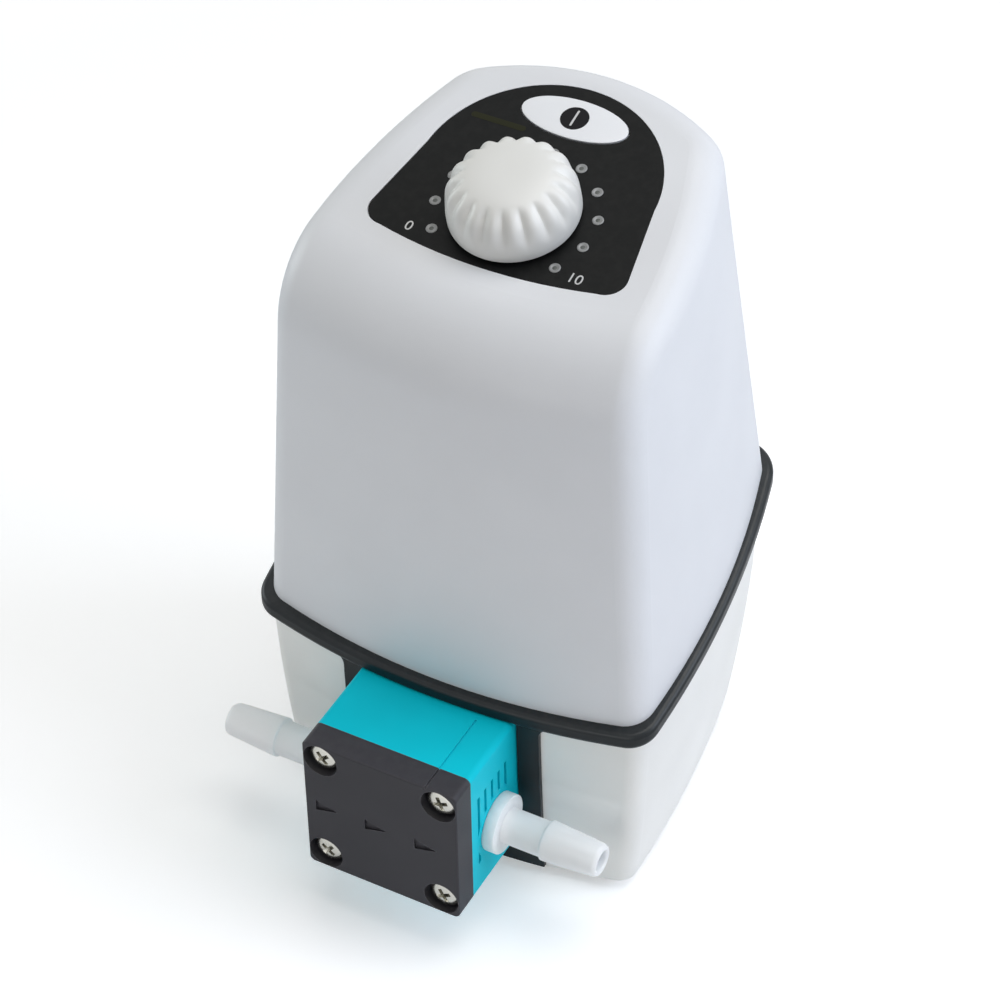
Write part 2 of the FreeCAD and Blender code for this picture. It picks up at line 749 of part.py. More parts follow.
def top_mark(front_y, back_y):
    """The shallow line across the top of the head."""
    top = head_axis_z + head_half
    return box(mark_x - mark_width / 2, mark_x + mark_width / 2, front_y, back_y, top - mark_depth, top + 1)


def head_block():
    """The teal block with its ports, valve chambers and the ribbed sides round the connectors."""
    block = head_slab(block_front_y, block_back_y)
    cuts = screw_holes(screw_diameter / 2 + 0.2, block_front_y, block_depth)
    cuts.append(top_mark(block_front_y, block_back_y - wall))
    slot_half = head_half - slot_margin
    slots = []
    for side in (-1, 1):
        for n in range(slot_count):
            y = block_front_y + block_depth / 2 + (n - (slot_count - 1) / 2) * slot_pitch
            x = side * head_half
            slots.append(box(min(x, x - side * slot_depth), max(x, x - side * slot_depth),
                             y - slot_width / 2, y + slot_width / 2,
                             head_axis_z - slot_half, head_axis_z + slot_half))
    bosses = [rod(port_boss_radius, head_size, V(-head_half, port_y, port_z), RIGHT)]
    cuts += [slot.cut(bosses) for slot in slots]
    for side in (-1, 1):
        inward = V(-side, 0, 0)
        mouth = V(side * head_half, port_y, port_z)
        cuts.append(rod(connector_spigot_radius + 0.1, connector_spigot + seal_thickness, mouth, inward))
        cuts.append(rod(valve_port_radius, head_half - valve_offset, mouth, inward))
        valve_at = V(side * valve_offset, block_back_y - valve_thickness - valve_lift, port_z)
        cuts.append(rod(valve_radius + running_gap, far, valve_at, BACK))
        cuts.append(rod(valve_port_radius, block_back_y - port_y, V(side * valve_offset, port_y, port_z), BACK))
    return block.cut(cuts)


def valve_plate():
    """The layer behind the block, with the valve seats and the shallow pumping chamber."""
    plate = head_slab(block_back_y, valve_plate_back_y)
    chamber = Part.makeCone(chamber_radius * 0.55, chamber_radius, chamber_depth,
                            V(0, valve_plate_back_y - chamber_depth, head_axis_z), BACK)
    cuts = [chamber] + screw_holes(screw_diameter / 2 + 0.2, block_back_y, valve_plate_thickness)
    for side in (-1, 1):
        for dz in (-1, 1):
            at = V(side * (valve_offset - 2.0), block_back_y, port_z + dz * valve_port_radius)
            cuts.append(rod(valve_port_radius / 2, valve_plate_thickness, at, BACK))
    return plate.cut(cuts)


def valve_discs():
    """The two rubber valve discs, one at the inlet and one at the outlet."""
    discs = []
    for side in (-1, 1):
        disc = rod(valve_radius, valve_thickness, V(side * valve_offset, block_back_y - valve_thickness, port_z),
                   BACK)
        discs.append(disc.makeFillet(0.3, [edge for edge in disc.Edges if edge.BoundBox.YLength < 0.01]))
    return Part.makeCompound(discs)


def neck_extra(side):
    return left_neck_extra if side < 0 else 0.0


def hose_connector(side):
    """A barbed connector of translucent plastic, screwed into one side of the block."""
    extra = neck_extra(side)
    tip = connector_length + extra
    neck_end = connector_neck_end + extra
    profile = [(connector_bore_radius, -connector_spigot), (connector_spigot_radius, -connector_spigot),
               (connector_spigot_radius, 0), (connector_flange_radius - 0.4, 0), (connector_flange_radius, 0.4),
               (connector_flange_radius, connector_flange - 0.4), (connector_flange_radius - 0.4, connector_flange),
               (connector_neck_radius + 0.5, connector_flange), (connector_neck_radius, connector_flange + 0.5),
               (connector_neck_radius, neck_end), (connector_barb_radius, neck_end + 0.2),
               (connector_barb_radius, neck_end + 1.0), (connector_tip_radius + 0.2, tip - 0.8),
               (connector_tip_radius - 0.6, tip), (connector_bore_radius, tip)]
    return turned(profile, V(side * head_half, port_y, port_z), V(side, 0, 0))


def connector_seals():
    """The O-rings at the bottom of the two connector holes."""
    seals = []
    for side in (-1, 1):
        centre = V(side * (head_half - connector_spigot - seal_thickness / 2), port_y, port_z)
        seals.append(Part.makeTorus(connector_spigot_radius - seal_thickness / 2 - 0.1, seal_thickness / 2,
                                    centre, RIGHT))
    return Part.makeCompound(seals)


def head_screws():
    seat_y = front_face_y + screw_sink
    length = flange_back_y - seat_y - 1.0
    return Part.makeCompound([pan_screw(screw_diameter, screw_head_diameter, screw_head_height, length,
                                        V(x, seat_y, z), -BACK) for x, z in screw_places()])


def diaphragm():
    """The rubber diaphragm, thickened in the middle round the stud moulded into it."""
    rim = rod(diaphragm_radius, diaphragm_thickness, V(0, valve_plate_back_y, head_axis_z), BACK)
    boss = rod(diaphragm_boss_radius, diaphragm_thickness + diaphragm_boss, V(0, valve_plate_back_y, head_axis_z),
               BACK)
    body = rim.fuse(boss).removeSplitter()
    socket = rod(stud_radius, far, V(0, diaphragm_back_y - stud_bedding / 2, head_axis_z), BACK)
    return body.cut(socket)


def diaphragm_stud():
    return rod(stud_radius, stud_length + stud_bedding + diaphragm_boss,
               V(0, diaphragm_back_y - stud_bedding / 2, head_axis_z), BACK)


def stud_end_y():
    return diaphragm_back_y - stud_bedding / 2 + stud_length + stud_bedding + diaphragm_boss


def crankcase():
    """A cast casing: a flange for the pump head, a neck, and a round chamber for the crank."""
    top = crankcase_top
    height = top - floor_z
    flange = box(-head_half, head_half, diaphragm_back_y, flange_back_y, head_axis_z - head_half,
                 head_axis_z + head_half)
    neck = box(-neck_half_width, neck_half_width, flange_back_y - flange_thickness / 3, crank_y, floor_z, top)
    body = rod(crankcase_radius, height, V(0, crank_y, floor_z)).fuse([flange, neck]).removeSplitter()
    chamber = rod(crankcase_radius - crankcase_wall, far, V(0, crank_y, floor_z + crankcase_floor))
    passage_half = neck_half_width - crankcase_wall
    passage = box(-passage_half, passage_half, diaphragm_back_y - 1, crank_y,
                  head_axis_z - passage_half, head_axis_z + passage_half)
    seat = rod(diaphragm_boss_radius + 2 * crank_throw, 2 * wall, V(0, diaphragm_back_y - 1, head_axis_z), BACK)
    cuts = [chamber, passage, seat]
    cuts += screw_holes(screw_diameter / 2, diaphragm_back_y, flange_thickness)
    for x, y in motor_screw_places():
        cuts.append(rod(motor_screw_diameter / 2, motor_screw_hole, V(x, y, top - motor_screw_hole)))
    return body.cut(cuts)


def motor_screw_places():
    ring = crankcase_radius - crankcase_wall / 2
    return [(ring * cos(angle), crank_y + ring * sin(angle))
            for angle in [radians(45 + 90 * n) for n in range(4)]]


def motor_plate():
    """The flange that closes the crankcase and carries the motor and its lower bearing."""
    plate = rod(crankcase_radius, motor_plate_thickness, V(0, crank_y, crankcase_top))
    nose = rod(motor_bearing_radius + motor_nose_wall,
               motor_bearing_width - motor_plate_thickness + motor_nose_rise, V(0, crank_y, motor_base_z))
    cuts = [rod(motor_bearing_radius, far, V(0, crank_y, motor_base_z - 1.0)),
            rod(shaft_radius + 1.0, far, V(0, crank_y, crankcase_top - 1.0))]
    cuts += [rod(motor_screw_diameter / 2 + 0.2, motor_plate_thickness, V(x, y, crankcase_top))
             for x, y in motor_screw_places()]
    return plate.fuse(nose).removeSplitter().cut(cuts)


def motor_screws():
    return Part.makeCompound([pan_screw(motor_screw_diameter, motor_screw_head, motor_screw_head_height,
                                        motor_plate_thickness + motor_screw_grip, V(x, y, motor_base_z), UP)
                              for x, y in motor_screw_places()])


def motor_can():
    """The motor's drawn steel can, closed at the top round the upper bearing."""
    outer = rod(motor_can_radius, motor_length, V(0, crank_y, motor_base_z))
    outer = outer.makeFillet(motor_can_rounding, edges_where(outer, lambda e: e.BoundBox.ZMin > motor_base_z + 1
                                              and e.BoundBox.ZLength < 0.01))
    cup = rod(motor_bearing_radius + motor_wall, motor_bearing_width, V(0, crank_y, motor_base_z + motor_length))
    hollow = rod(motor_can_radius - motor_wall, motor_length - motor_wall, V(0, crank_y, motor_base_z))
    seat = rod(motor_bearing_radius, motor_bearing_width + motor_wall / 2, V(0, crank_y, upper_bearing_z))
    return outer.fuse(cup).removeSplitter().cut([hollow, seat])


def motor_magnets():
    """Two curved magnets bonded to the inside of the can."""
    inner = magnet_outer - magnet_thickness
    ring = tube(magnet_outer, inner, rotor_length + 4.0, V(0, crank_y, rotor_base_z - 2.0))
    gap = 2 * magnet_outer * sin(radians(90 - magnet_arc / 2))
    return ring.cut(box(-gap / 2, gap / 2, -far, far, 0, far))


def motor_bearings():
    """The ball bearings at the two ends of the motor's shaft."""
    bottom = V(0, crank_y, motor_base_z - 1.0)
    top = V(0, crank_y, upper_bearing_z)
    return Part.makeCompound([tube(motor_bearing_radius, shaft_radius + shaft_fit, motor_bearing_width, at)
                              for at in (bottom, top)])


def motor_brushes():
    """The brush holder, a ring inside the can with two carbon brushes by the commutator."""
    z = commutator_z + 1.0
    height = commutator_length - 2.0
    ring = tube(motor_can_radius - motor_wall, commutator_radius + 5.5, height, V(0, crank_y, z))
    arms = box(-motor_can_radius, motor_can_radius, crank_y - 2.0, crank_y + 2.0, z + 1.0, z + height - 1.0)
    arms = arms.common(rod(commutator_radius + 6.0, far, V(0, crank_y, 0)))
    arms = arms.cut(rod(commutator_radius + running_gap, far, V(0, crank_y, 0)))
    return ring.fuse(arms).removeSplitter()


def armature():
    """The slotted core and the commutator on the motor's shaft."""
    core = rod(rotor_radius, rotor_length, V(0, crank_y, rotor_base_z))
    cuts = []
    for n in range(rotor_slots):
        slot = box(rotor_radius * 0.45, rotor_radius + 1, -rotor_slot_width / 2, rotor_slot_width / 2,
                   rotor_base_z - 1, rotor_base_z + rotor_length + 1)
        cuts.append(slot.rotated(V(0, 0, 0), UP, 360 * n / rotor_slots).translated(V(0, crank_y, 0)))
    core = core.cut(cuts)
    neck = rod(shaft_radius + 1.5, commutator_z - rotor_base_z - rotor_length,
               V(0, crank_y, rotor_base_z + rotor_length))
    commutator = rod(commutator_radius, commutator_length, V(0, crank_y, commutator_z))
    return core.fuse([neck, commutator]).removeSplitter().cut(rod(shaft_radius, far, V(0, crank_y, 0)))


def motor_shaft():
    return rod(shaft_radius, shaft_top_z - shaft_foot_z, V(0, crank_y, shaft_foot_z))


def crank_hub():
    """The hub on the shaft with the off-centre journal for the connecting rod."""
    hub = rod(hub_radius, hub_height, V(0, crank_y, hub_z))
    journal = rod(bearing_bore / 2, bearing_width + 0.5, V(0, crank_y - crank_throw, journal_z - 0.5))
    shoulder = rod(bearing_bore / 2 + 1.2, hub_z - journal_z - bearing_width,
                   V(0, crank_y - crank_throw, journal_z + bearing_width))
    return hub.fuse([journal, shoulder]).removeSplitter().cut(rod(shaft_radius, far, V(0, crank_y, 0)))


def counterweight():
    """A half-round weight under the hub's other side, opposite the journal's throw."""
    z = counterweight_z
    disc = rod(counterweight_radius, counterweight_height, V(0, crank_y, z))
    keep = box(-far, far, crank_y, far, z, z + counterweight_height)
    collar = rod(hub_radius, counterweight_height, V(0, crank_y, z))
    return disc.common(keep).fuse(collar).removeSplitter().cut(rod(shaft_radius, far, V(0, crank_y, 0)))


def rod_bearing():
    return tube(bearing_outer / 2, bearing_bore / 2 + shaft_fit, bearing_width,
                V(0, crank_y - crank_throw, journal_z))


def connecting_rod():
    """The rod from the crank's bearing to the diaphragm's stud."""
    eye_y = crank_y - crank_throw
    eye_low = journal_z - (eye_height - bearing_width) / 2
    eye = rod(bearing_outer / 2 + eye_wall, eye_height, V(0, eye_y, eye_low))
    front_y = diaphragm_back_y + diaphragm_boss + rod_front_gap
    head = rod(rod_head_radius, rod_head_length, V(0, front_y, head_axis_z), BACK)
    shank = box(-rod_width / 2, rod_width / 2, front_y + rod_head_length - 0.5, eye_y,
                head_axis_z - eye_height / 2, head_axis_z + eye_height / 2)
    body = eye.fuse([head, shank]).removeSplitter()
    socket = rod(stud_radius + crank_throw + running_gap, stud_end_y() + running_gap - front_y + 1,
                 V(0, front_y - 1, head_axis_z), BACK)
    relief = rod(bearing_outer / 2 - 0.8, far, V(0, eye_y, 0))
    return body.cut([rod(bearing_outer / 2, bearing_width, V(0, eye_y, journal_z)), relief, socket])


def power_inlet():
    """A round low-voltage inlet: a flanged, threaded body with a deep bore for the plug."""
    seat = inlet_seat_y()
    profile = [(0, -inlet_length), (inlet_thread_radius, -inlet_length), (inlet_thread_radius, 0),
               (inlet_flange_radius, 0), (inlet_flange_radius, inlet_flange), (0, inlet_flange)]
    body = turned(profile, V(0, seat, inlet_z), BACK)
    bore = rod(inlet_bore_radius, inlet_bore_depth, V(0, seat + inlet_flange - inlet_bore_depth, inlet_z), BACK)
    return body.cut([bore, rod(inlet_pin_radius, far, V(0, crank_y, inlet_z), BACK)])


def inlet_pin():
    """The inlet's centre contact, with its tail inside the housing."""
    foot_y = inlet_seat_y() - inlet_length - inlet_pin_tail
    tip_y = inlet_seat_y() + inlet_flange - 1.0
    return rod(inlet_pin_radius, tip_y - foot_y, V(0, foot_y, inlet_z), BACK)


def inlet_nut():
    nut = hexagon(inlet_nut_flats, inlet_nut_height, V(0, inlet_seat_y() - inlet_pad, inlet_z), -BACK)
    return nut.cut(rod(inlet_thread_radius, far, V(0, crank_y, inlet_z), BACK))


# Heights and radii along the motor's axis
magnet_outer = motor_can_radius - motor_wall
rotor_radius = magnet_outer - magnet_thickness - rotor_gap
rotor_base_z = motor_base_z + rotor_foot
upper_bearing_z = motor_base_z + motor_length - motor_wall * 1.5
commutator_z = upper_bearing_z - running_gap - commutator_length
rotor_length = commutator_z - 2.0 - rotor_base_z
journal_z = head_axis_z - bearing_width / 2
hub_z = journal_z + bearing_width + (eye_height - bearing_width) / 2 + running_gap
counterweight_z = hub_z + hub_height
shaft_foot_z = journal_z - 0.5
shaft_top_z = upper_bearing_z + motor_bearing_width + running_gap

sub_parts = {
    "lower_housing": lower_housing,
    "upper_housing": upper_housing,
    "seam_band": seam_band,
    "rubber_feet": rubber_feet,
    "housing_screws": housing_screws,
    "panel_overlay": panel_overlay,
    "power_key": power_key,
    "key_switch": key_switch,
    "speed_knob": speed_knob,
    "knob_shaft": knob_shaft,
    "potentiometer": potentiometer,
    "pot_nut": pot_nut,
    "control_board": control_board,
    "board_screws": board_screws,
    "front_plate": front_plate,
    "head_block": head_block,
    "head_screws": head_screws,
    "valve_plate": valve_plate,
    "valve_discs": valve_discs,
    "hose_connector_left": lambda: hose_connector(-1),
    "hose_connector_right": lambda: hose_connector(1),
    "connector_seals": connector_seals,
    "diaphragm": diaphragm,
    "diaphragm_stud": diaphragm_stud,
    "crankcase": crankcase,
    "connecting_rod": connecting_rod,
    "rod_bearing": rod_bearing,
    "crank_hub": crank_hub,
    "counterweight": counterweight,
    "motor_plate": motor_plate,
    "motor_screws": motor_screws,
    "motor_can": motor_can,
    "motor_magnets": motor_magnets,
    "motor_bearings": motor_bearings,
    "motor_brushes": motor_brushes,
    "armature": armature,
    "motor_shaft": motor_shaft,
    "power_inlet": power_inlet,
    "inlet_pin": inlet_pin,
    "inlet_nut": inlet_nut,
}


def main():
    os.makedirs("parts", exist_ok=True)
    for node, make in sub_parts.items():
        shape = make()
        shape.exportStep("parts/" + node + ".step")


if __name__ == "__main__":
    main()
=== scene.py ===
"""Finishes and stage for the bench-top diaphragm liquid pump.

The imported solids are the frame. This file gives every solid its finish, replaces the knob, the power key, the
hose connectors and the pump head's screws with finer meshes, prints the panel's marks, and sets up a plain
studio. Blender works in metres, so sizes in millimetres are multiplied by MM.
"""

import json
from math import cos, pi, radians, sin, sqrt

import bmesh
import bpy
from bpy.props import FloatProperty, FloatVectorProperty, IntProperty, PointerProperty
from mathutils import Matrix, Vector


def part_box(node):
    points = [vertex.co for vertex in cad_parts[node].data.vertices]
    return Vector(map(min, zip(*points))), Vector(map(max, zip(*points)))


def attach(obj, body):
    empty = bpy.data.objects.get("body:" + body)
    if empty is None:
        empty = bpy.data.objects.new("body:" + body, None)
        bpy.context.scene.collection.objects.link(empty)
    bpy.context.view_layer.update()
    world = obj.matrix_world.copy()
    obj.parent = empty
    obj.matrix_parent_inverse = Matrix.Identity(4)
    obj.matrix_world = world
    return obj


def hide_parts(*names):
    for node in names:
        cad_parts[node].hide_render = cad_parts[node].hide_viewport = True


bl_info = {
    "name": "Diaphragm liquid pump",
    "version": (1, 0, 0),
    "blender": (4, 5, 0),
    "location": "View3D > Sidebar > Pump",
    "description": "Dresses the packed bench pump and sets it on a plain pale stage",
    "category": "Object",
}

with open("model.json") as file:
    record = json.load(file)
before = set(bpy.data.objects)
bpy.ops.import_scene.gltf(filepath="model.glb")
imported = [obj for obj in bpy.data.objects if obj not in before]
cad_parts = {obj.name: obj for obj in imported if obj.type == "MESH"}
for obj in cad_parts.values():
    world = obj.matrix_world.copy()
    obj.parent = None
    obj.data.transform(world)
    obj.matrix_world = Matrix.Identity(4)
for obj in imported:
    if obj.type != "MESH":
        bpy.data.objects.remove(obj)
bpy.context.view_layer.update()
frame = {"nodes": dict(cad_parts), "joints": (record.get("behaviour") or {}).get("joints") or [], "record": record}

MM = 0.001
SMALL = 1e-6
WHITE = (1, 1, 1)
SHARP_ANGLE = radians(32)


def tone(red, green, blue):
    """A colour given as it looks on a screen, 0 to 255, as Blender's linear values."""
    linear = []
    for value in (red, green, blue):
        share = value / 255
        linear.append(share / 12.92 if share <= 0.04045 else ((share + 0.055) / 1.055) ** 2.4)
    return tuple(linear)


def colour_property(name, description, default):
    return FloatVectorProperty(name=name, description=description, default=default, subtype="COLOR",
                               size=3, min=0.0, max=1.0)


def length_property(name, description, millimetres):
    return FloatProperty(name=name, description=description, default=millimetres * MM, min=0.0,
                         unit="LENGTH", subtype="DISTANCE")


def angle_property(name, description, degrees):
    return FloatProperty(name=name, description=description, default=radians(degrees), subtype="ANGLE")


def number_property(name, description, default, least=0.0):
    return FloatProperty(name=name, description=description, default=default, min=least)


class PumpColours(bpy.types.PropertyGroup):
    """The colours that someone would change first."""

    upper_shell: colour_property("Upper shell", "Cool white moulded shell", tone(233, 234, 237))
    lower_shell: colour_property("Lower shell", "Warm white moulded shell", tone(247, 246, 242))
    rubber: colour_property("Seam rubber", "Seam band and frame round the head", tone(26, 31, 34))
    film: colour_property("Panel film", "Printed film under the knob", tone(20, 21, 21))
    mark: colour_property("Dial dots", "Grey dots round the knob", tone(146, 147, 147))
    digit: colour_property("Dial numbers", "Printed numbers at the ends of the dial", tone(214, 214, 214))
    key: colour_property("Power key", "Oval key", tone(246, 247, 250))
    knob: colour_property("Knob", "Warm white knob", tone(236, 235, 231))
    head: colour_property("Pump head", "Teal block of the pump head", tone(0, 209, 228))
    plate: colour_property("Front plate", "Charcoal pressure plate", tone(55, 54, 59))
    connector: colour_property("Hose connectors", "Milky translucent plastic", tone(246, 251, 255))
    screw: colour_property("Screws", "Nickel plate", tone(226, 224, 214))


class KnobSizes(bpy.types.PropertyGroup):
    """The speed knob: a fluted bell, hollow underneath, with heights measured from the panel."""

    foot: length_property("Foot", "Gap from the panel up to the knob", 1.0)
    skirt_radius: length_property("Skirt radius", "Radius at the foot", 15.4)
    height: length_property("Height", "Height of the crown", 13.9)
    squareness: number_property("Squareness", "2 for a round bell, more for a squarer shoulder", 3.4, 2.0)
    flutes: IntProperty(name="Flutes", description="Number of flutes", default=18, min=3)
    flute_depth: length_property("Flute depth", "Depth of the flutes at the shoulder", 0.95)
    flute_end: length_property("Flute end", "Height at which the flutes have faded", 3.4)
    flute_full: length_property("Flute full", "Height at which the flutes are full", 9.0)
    hollow_mouth: length_property("Hollow mouth", "Radius of the hollow at the foot", 11.8)
    hollow_radius: length_property("Hollow radius", "Radius of the hollow at its roof", 11.6)
    hollow_roof: length_property("Hollow roof", "Height of the hollow's roof", 4.6)
    bore_radius: length_property("Bore radius", "Radius of the bore for the shaft", 3.06)
    bore_top: length_property("Bore top", "Height of the bore's closed end", 10.6)


class KeySizes(bpy.types.PropertyGroup):
    """The oval power key, a little domed, with heights measured from the panel."""

    half_width: length_property("Half width", "Half of the oval's long axis", 13.4)
    half_depth: length_property("Half depth", "Half of the oval's short axis", 5.7)
    edge: length_property("Edge", "Height of the dome's edge", 0.25)
    height: length_property("Height", "Height of the dome's middle", 0.6)
    fullness: number_property("Fullness", "0.5 for an evenly round dome, more for a flatter edge", 0.6)
    flange: length_property("Flange", "Width of the flange inside the housing", 1.3)
    flange_top: length_property("Flange top", "Depth of the flange's top under the panel", 2.9)
    flange_foot: length_property("Flange foot", "Depth of the flange's underside under the panel", 4.1)
    disc_radius: length_property("Disc radius", "Radius of the dark disc printed on the key", 3.4)


class MarkSizes(bpy.types.PropertyGroup):
    """The printed and moulded marks on the panel."""

    ring_radius: length_property("Ring radius", "Radius of the ring of dots round the knob", 19.05)
    dot_radius: length_property("Dot radius", "Radius of each dot", 1.35)
    dots: IntProperty(name="Dots", description="Number of dots on the dial", default=11, min=2)
    sweep: angle_property("Sweep", "Angle from the first dot to the last", 250)
    digit_height: length_property("Digit height", "Height of the numbers", 2.7)
    ink: length_property("Ink", "Thickness of the printed ink", 0.03)


class ConnectorSizes(bpy.types.PropertyGroup):
    """The hose connectors, from the pump head's side outwards."""

    flange_radius: length_property("Flange radius", "Radius of the flange on the head", 7.6)
    flange: length_property("Flange", "Thickness of the flange", 3.2)
    neck_radius: length_property("Neck radius", "Radius between flange and barb", 4.5)
    barb_radius: length_property("Barb radius", "Largest radius of the barb", 5.05)
    barb_length: length_property("Barb length", "Length of the barb's cone", 14.8)
    tip_radius: length_property("Tip radius", "Radius of the barb's tip", 4.0)
    bore_radius: length_property("Bore radius", "Radius of the bore", 2.6)
    spigot: length_property("Spigot", "Length of the threaded end inside the head", 8.0)


class ScrewSizes(bpy.types.PropertyGroup):
    """The four screws of the pump head."""

    head_radius: length_property("Head radius", "Radius of the pan head", 4.0)
    head_height: length_property("Head height", "Height of the pan head", 2.4)
    shank_radius: length_property("Shank radius", "Radius of the shank", 2.0)
    recess_reach: length_property("Recess reach", "Length of the cross recess's arms", 2.6)
    recess_width: length_property("Recess width", "Width of the recess's arms at the top", 1.25)
    recess_depth: length_property("Recess depth", "Depth of the recess", 1.7)


class StageSettings(bpy.types.PropertyGroup):
    """Camera, lamps and floor."""

    camera_place: FloatVectorProperty(name="Camera place", description="Where the camera stands",
                                      default=(0.29974, -0.54176, 0.64761), subtype="TRANSLATION")
    azimuth: angle_property("Azimuth", "How far the camera is round to the right", 29.05)
    elevation: angle_property("Elevation", "How far the camera looks down", 42.03)
    roll: angle_property("Roll", "Roll of the camera", -1.05)
    lens: number_property("Lens", "Focal length in millimetres on a 36 mm sensor", 126.0)
    floor: colour_property("Floor", "Plain pale floor", tone(247, 247, 248))
    floor_lift: number_property("Floor lift", "How much whiter the camera sees the floor near the pump", 0.32)
    room_light: number_property("Room light", "Strength of the even light of the room", 0.06)


def settings(name):
    """The group of settings of that name, as they are set in the sidebar."""
    return getattr(bpy.context.scene, "pump_" + name)


def look():
    """The colours, as they are set in the sidebar."""
    return settings("colours")


def add(tree, kind, options=None, **inputs):
    """A new shader node. Each input is a value or the socket that feeds it."""
    node = tree.nodes.new(kind)
    for name, value in (options or {}).items():
        setattr(node, name, value)
    for name, value in inputs.items():
        feed(tree, node.inputs[name.replace("_", " ")], value)
    return node


def feed(tree, socket, value):
    """Links a socket to the input, or sets the input to a plain value or colour."""
    if isinstance(value, bpy.types.NodeSocket):
        tree.links.new(value, socket)
    elif socket.type == "RGBA":
        socket.default_value = (*value[:3], 1.0)
    else:
        socket.default_value = value


def calculate(tree, operation, first, second=0.0, clamp=False):
    node = add(tree, "ShaderNodeMath", {"operation": operation, "use_clamp": clamp})
    feed(tree, node.inputs[0], first)
    feed(tree, node.inputs[1], second)
    return node.outputs[0]


def vary(tree, mask, low, high):
    """The mask, 0 to 1, stretched to run from low to high."""
    node = add(tree, "ShaderNodeMapRange", {"clamp": True}, Value=mask, To_Min=low, To_Max=high)
    return node.outputs["Result"]


def pick(tree, mask, low, high):
    """The mask cut to what lies between low and high, stretched to 0 to 1."""
    node = add(tree, "ShaderNodeMapRange", {"clamp": True}, Value=mask, From_Min=low, From_Max=high)
    return node.outputs["Result"]


def tint(tree, mask, first, second):
    """Between two colours by the mask."""
    node = add(tree, "ShaderNodeMix", {"data_type": "RGBA"})
    feed(tree, node.inputs[0], mask)
    feed(tree, node.inputs[6], first)
    feed(tree, node.inputs[7], second)
    return node.outputs[2]


def darker(colour, share):
    return tuple(value * share for value in colour)


def paler(colour, share):
    return tuple(value + (1 - value) * share for value in colour)


def millimetre_space(tree, stretch=(1, 1, 1)):
    """Each piece's own coordinates in millimetres, so that a pattern rides with its piece."""
    place = add(tree, "ShaderNodeTexCoord").outputs["Object"]
    node = add(tree, "ShaderNodeVectorMath", {"operation": "MULTIPLY"})
    feed(tree, node.inputs[0], place)
    feed(tree, node.inputs[1], tuple(value / MM for value in stretch))
    return node.outputs[0]


def noise(tree, space, size, detail=2.0, roughness=0.5):
    """Smooth noise with features of about this size in millimetres."""
    scale = calculate(tree, "DIVIDE", 1.0, size)
    return add(tree, "ShaderNodeTexNoise", None, Vector=space, Scale=scale, Detail=detail,
               Roughness=roughness).outputs["Fac"]


def shader_group(name, inputs, outputs):
    """A node group with float inputs {name: default} and float outputs, and its two end nodes."""
    group = bpy.data.node_groups.new(name, "ShaderNodeTree")
    for socket_name, default in inputs.items():
        socket = group.interface.new_socket(name=socket_name, in_out="INPUT", socket_type="NodeSocketFloat")
        socket.default_value = default
    for socket_name in outputs:
        group.interface.new_socket(name=socket_name, in_out="OUTPUT", socket_type="NodeSocketFloat")
    start = group.nodes.new("NodeGroupInput")
    end = group.nodes.new("NodeGroupOutput")
    return group, start.outputs, end.inputs


def moulded_grain(name):
    """The fine texture that a spark-eroded mould leaves, with slow cloudy differences across the piece."""
    group, given, out = shader_group(name, {"Grain": 0.3, "Cloud": 22.0}, ["Height", "Cloud"])
    space = millimetre_space(group)
    fine = noise(group, space, given["Grain"], detail=3.0, roughness=0.6)
    soft = noise(group, space, given["Cloud"], detail=2.0, roughness=0.45)
    feed(group, out["Height"], fine)
    feed(group, out["Cloud"], pick(group, soft, low=0.3, high=0.7))
    return group


def edge_wear_and_highlight(name):
    """A mask of the outer edges, broken up by noise, that lightens them: partly pale wear, partly a painted
    highlight.
    """
    group, given, out = shader_group(name, {"Width": 0.4, "Strength": 1.0}, ["Mask"])
    width = calculate(group, "MULTIPLY", given["Width"], MM)
    bevel = add(group, "ShaderNodeBevel", {"samples": 4}, Radius=width).outputs["Normal"]
    straight = add(group, "ShaderNodeNewGeometry").outputs["Normal"]
    likeness = add(group, "ShaderNodeVectorMath", {"operation": "DOT_PRODUCT"})
    feed(group, likeness.inputs[0], bevel)
    feed(group, likeness.inputs[1], straight)
    turned = calculate(group, "SUBTRACT", 1.0, likeness.outputs["Value"])
    edge = pick(group, turned, low=0.02, high=0.22)
    patches = noise(group, millimetre_space(group), 1.6, detail=3.0, roughness=0.65)
    wear_and_highlight_mask = calculate(group, "MULTIPLY", edge, pick(group, patches, low=0.35, high=0.62))
    feed(group, out["Mask"], calculate(group, "MULTIPLY", wear_and_highlight_mask, given["Strength"], clamp=True))
    return group


def settled_dust(name):
    """A faint patchy mask on what faces up."""
    group, given, out = shader_group(name, {"Amount": 0.2, "Size": 2.5}, ["Mask"])
    normal = add(group, "ShaderNodeNewGeometry").outputs["Normal"]
    upward = add(group, "ShaderNodeSeparateXYZ", None, Vector=normal).outputs["Z"]
    patches = noise(group, millimetre_space(group), given["Size"], detail=4.0, roughness=0.6)
    resting = calculate(group, "MULTIPLY", pick(group, upward, low=0.35, high=1.0),
                        pick(group, patches, low=0.4, high=0.75))
    feed(group, out["Mask"], calculate(group, "MULTIPLY", resting, given["Amount"], clamp=True))
    return group


def hair_scratches(name):
    """Sparse thin scratches in two directions."""
    group, given, out = shader_group(name, {"Size": 6.0, "Strength": 0.5}, ["Mask"])
    marks = []
    for stretch in ((1.0, 0.06, 0.5), (0.07, 1.0, 0.6)):
        lines = noise(group, millimetre_space(group, stretch), given["Size"], detail=5.0, roughness=0.75)
        marks.append(pick(group, lines, low=0.64, high=0.72))
    both = calculate(group, "MAXIMUM", marks[0], marks[1])
    feed(group, out["Mask"], calculate(group, "MULTIPLY", both, given["Strength"], clamp=True))
    return group


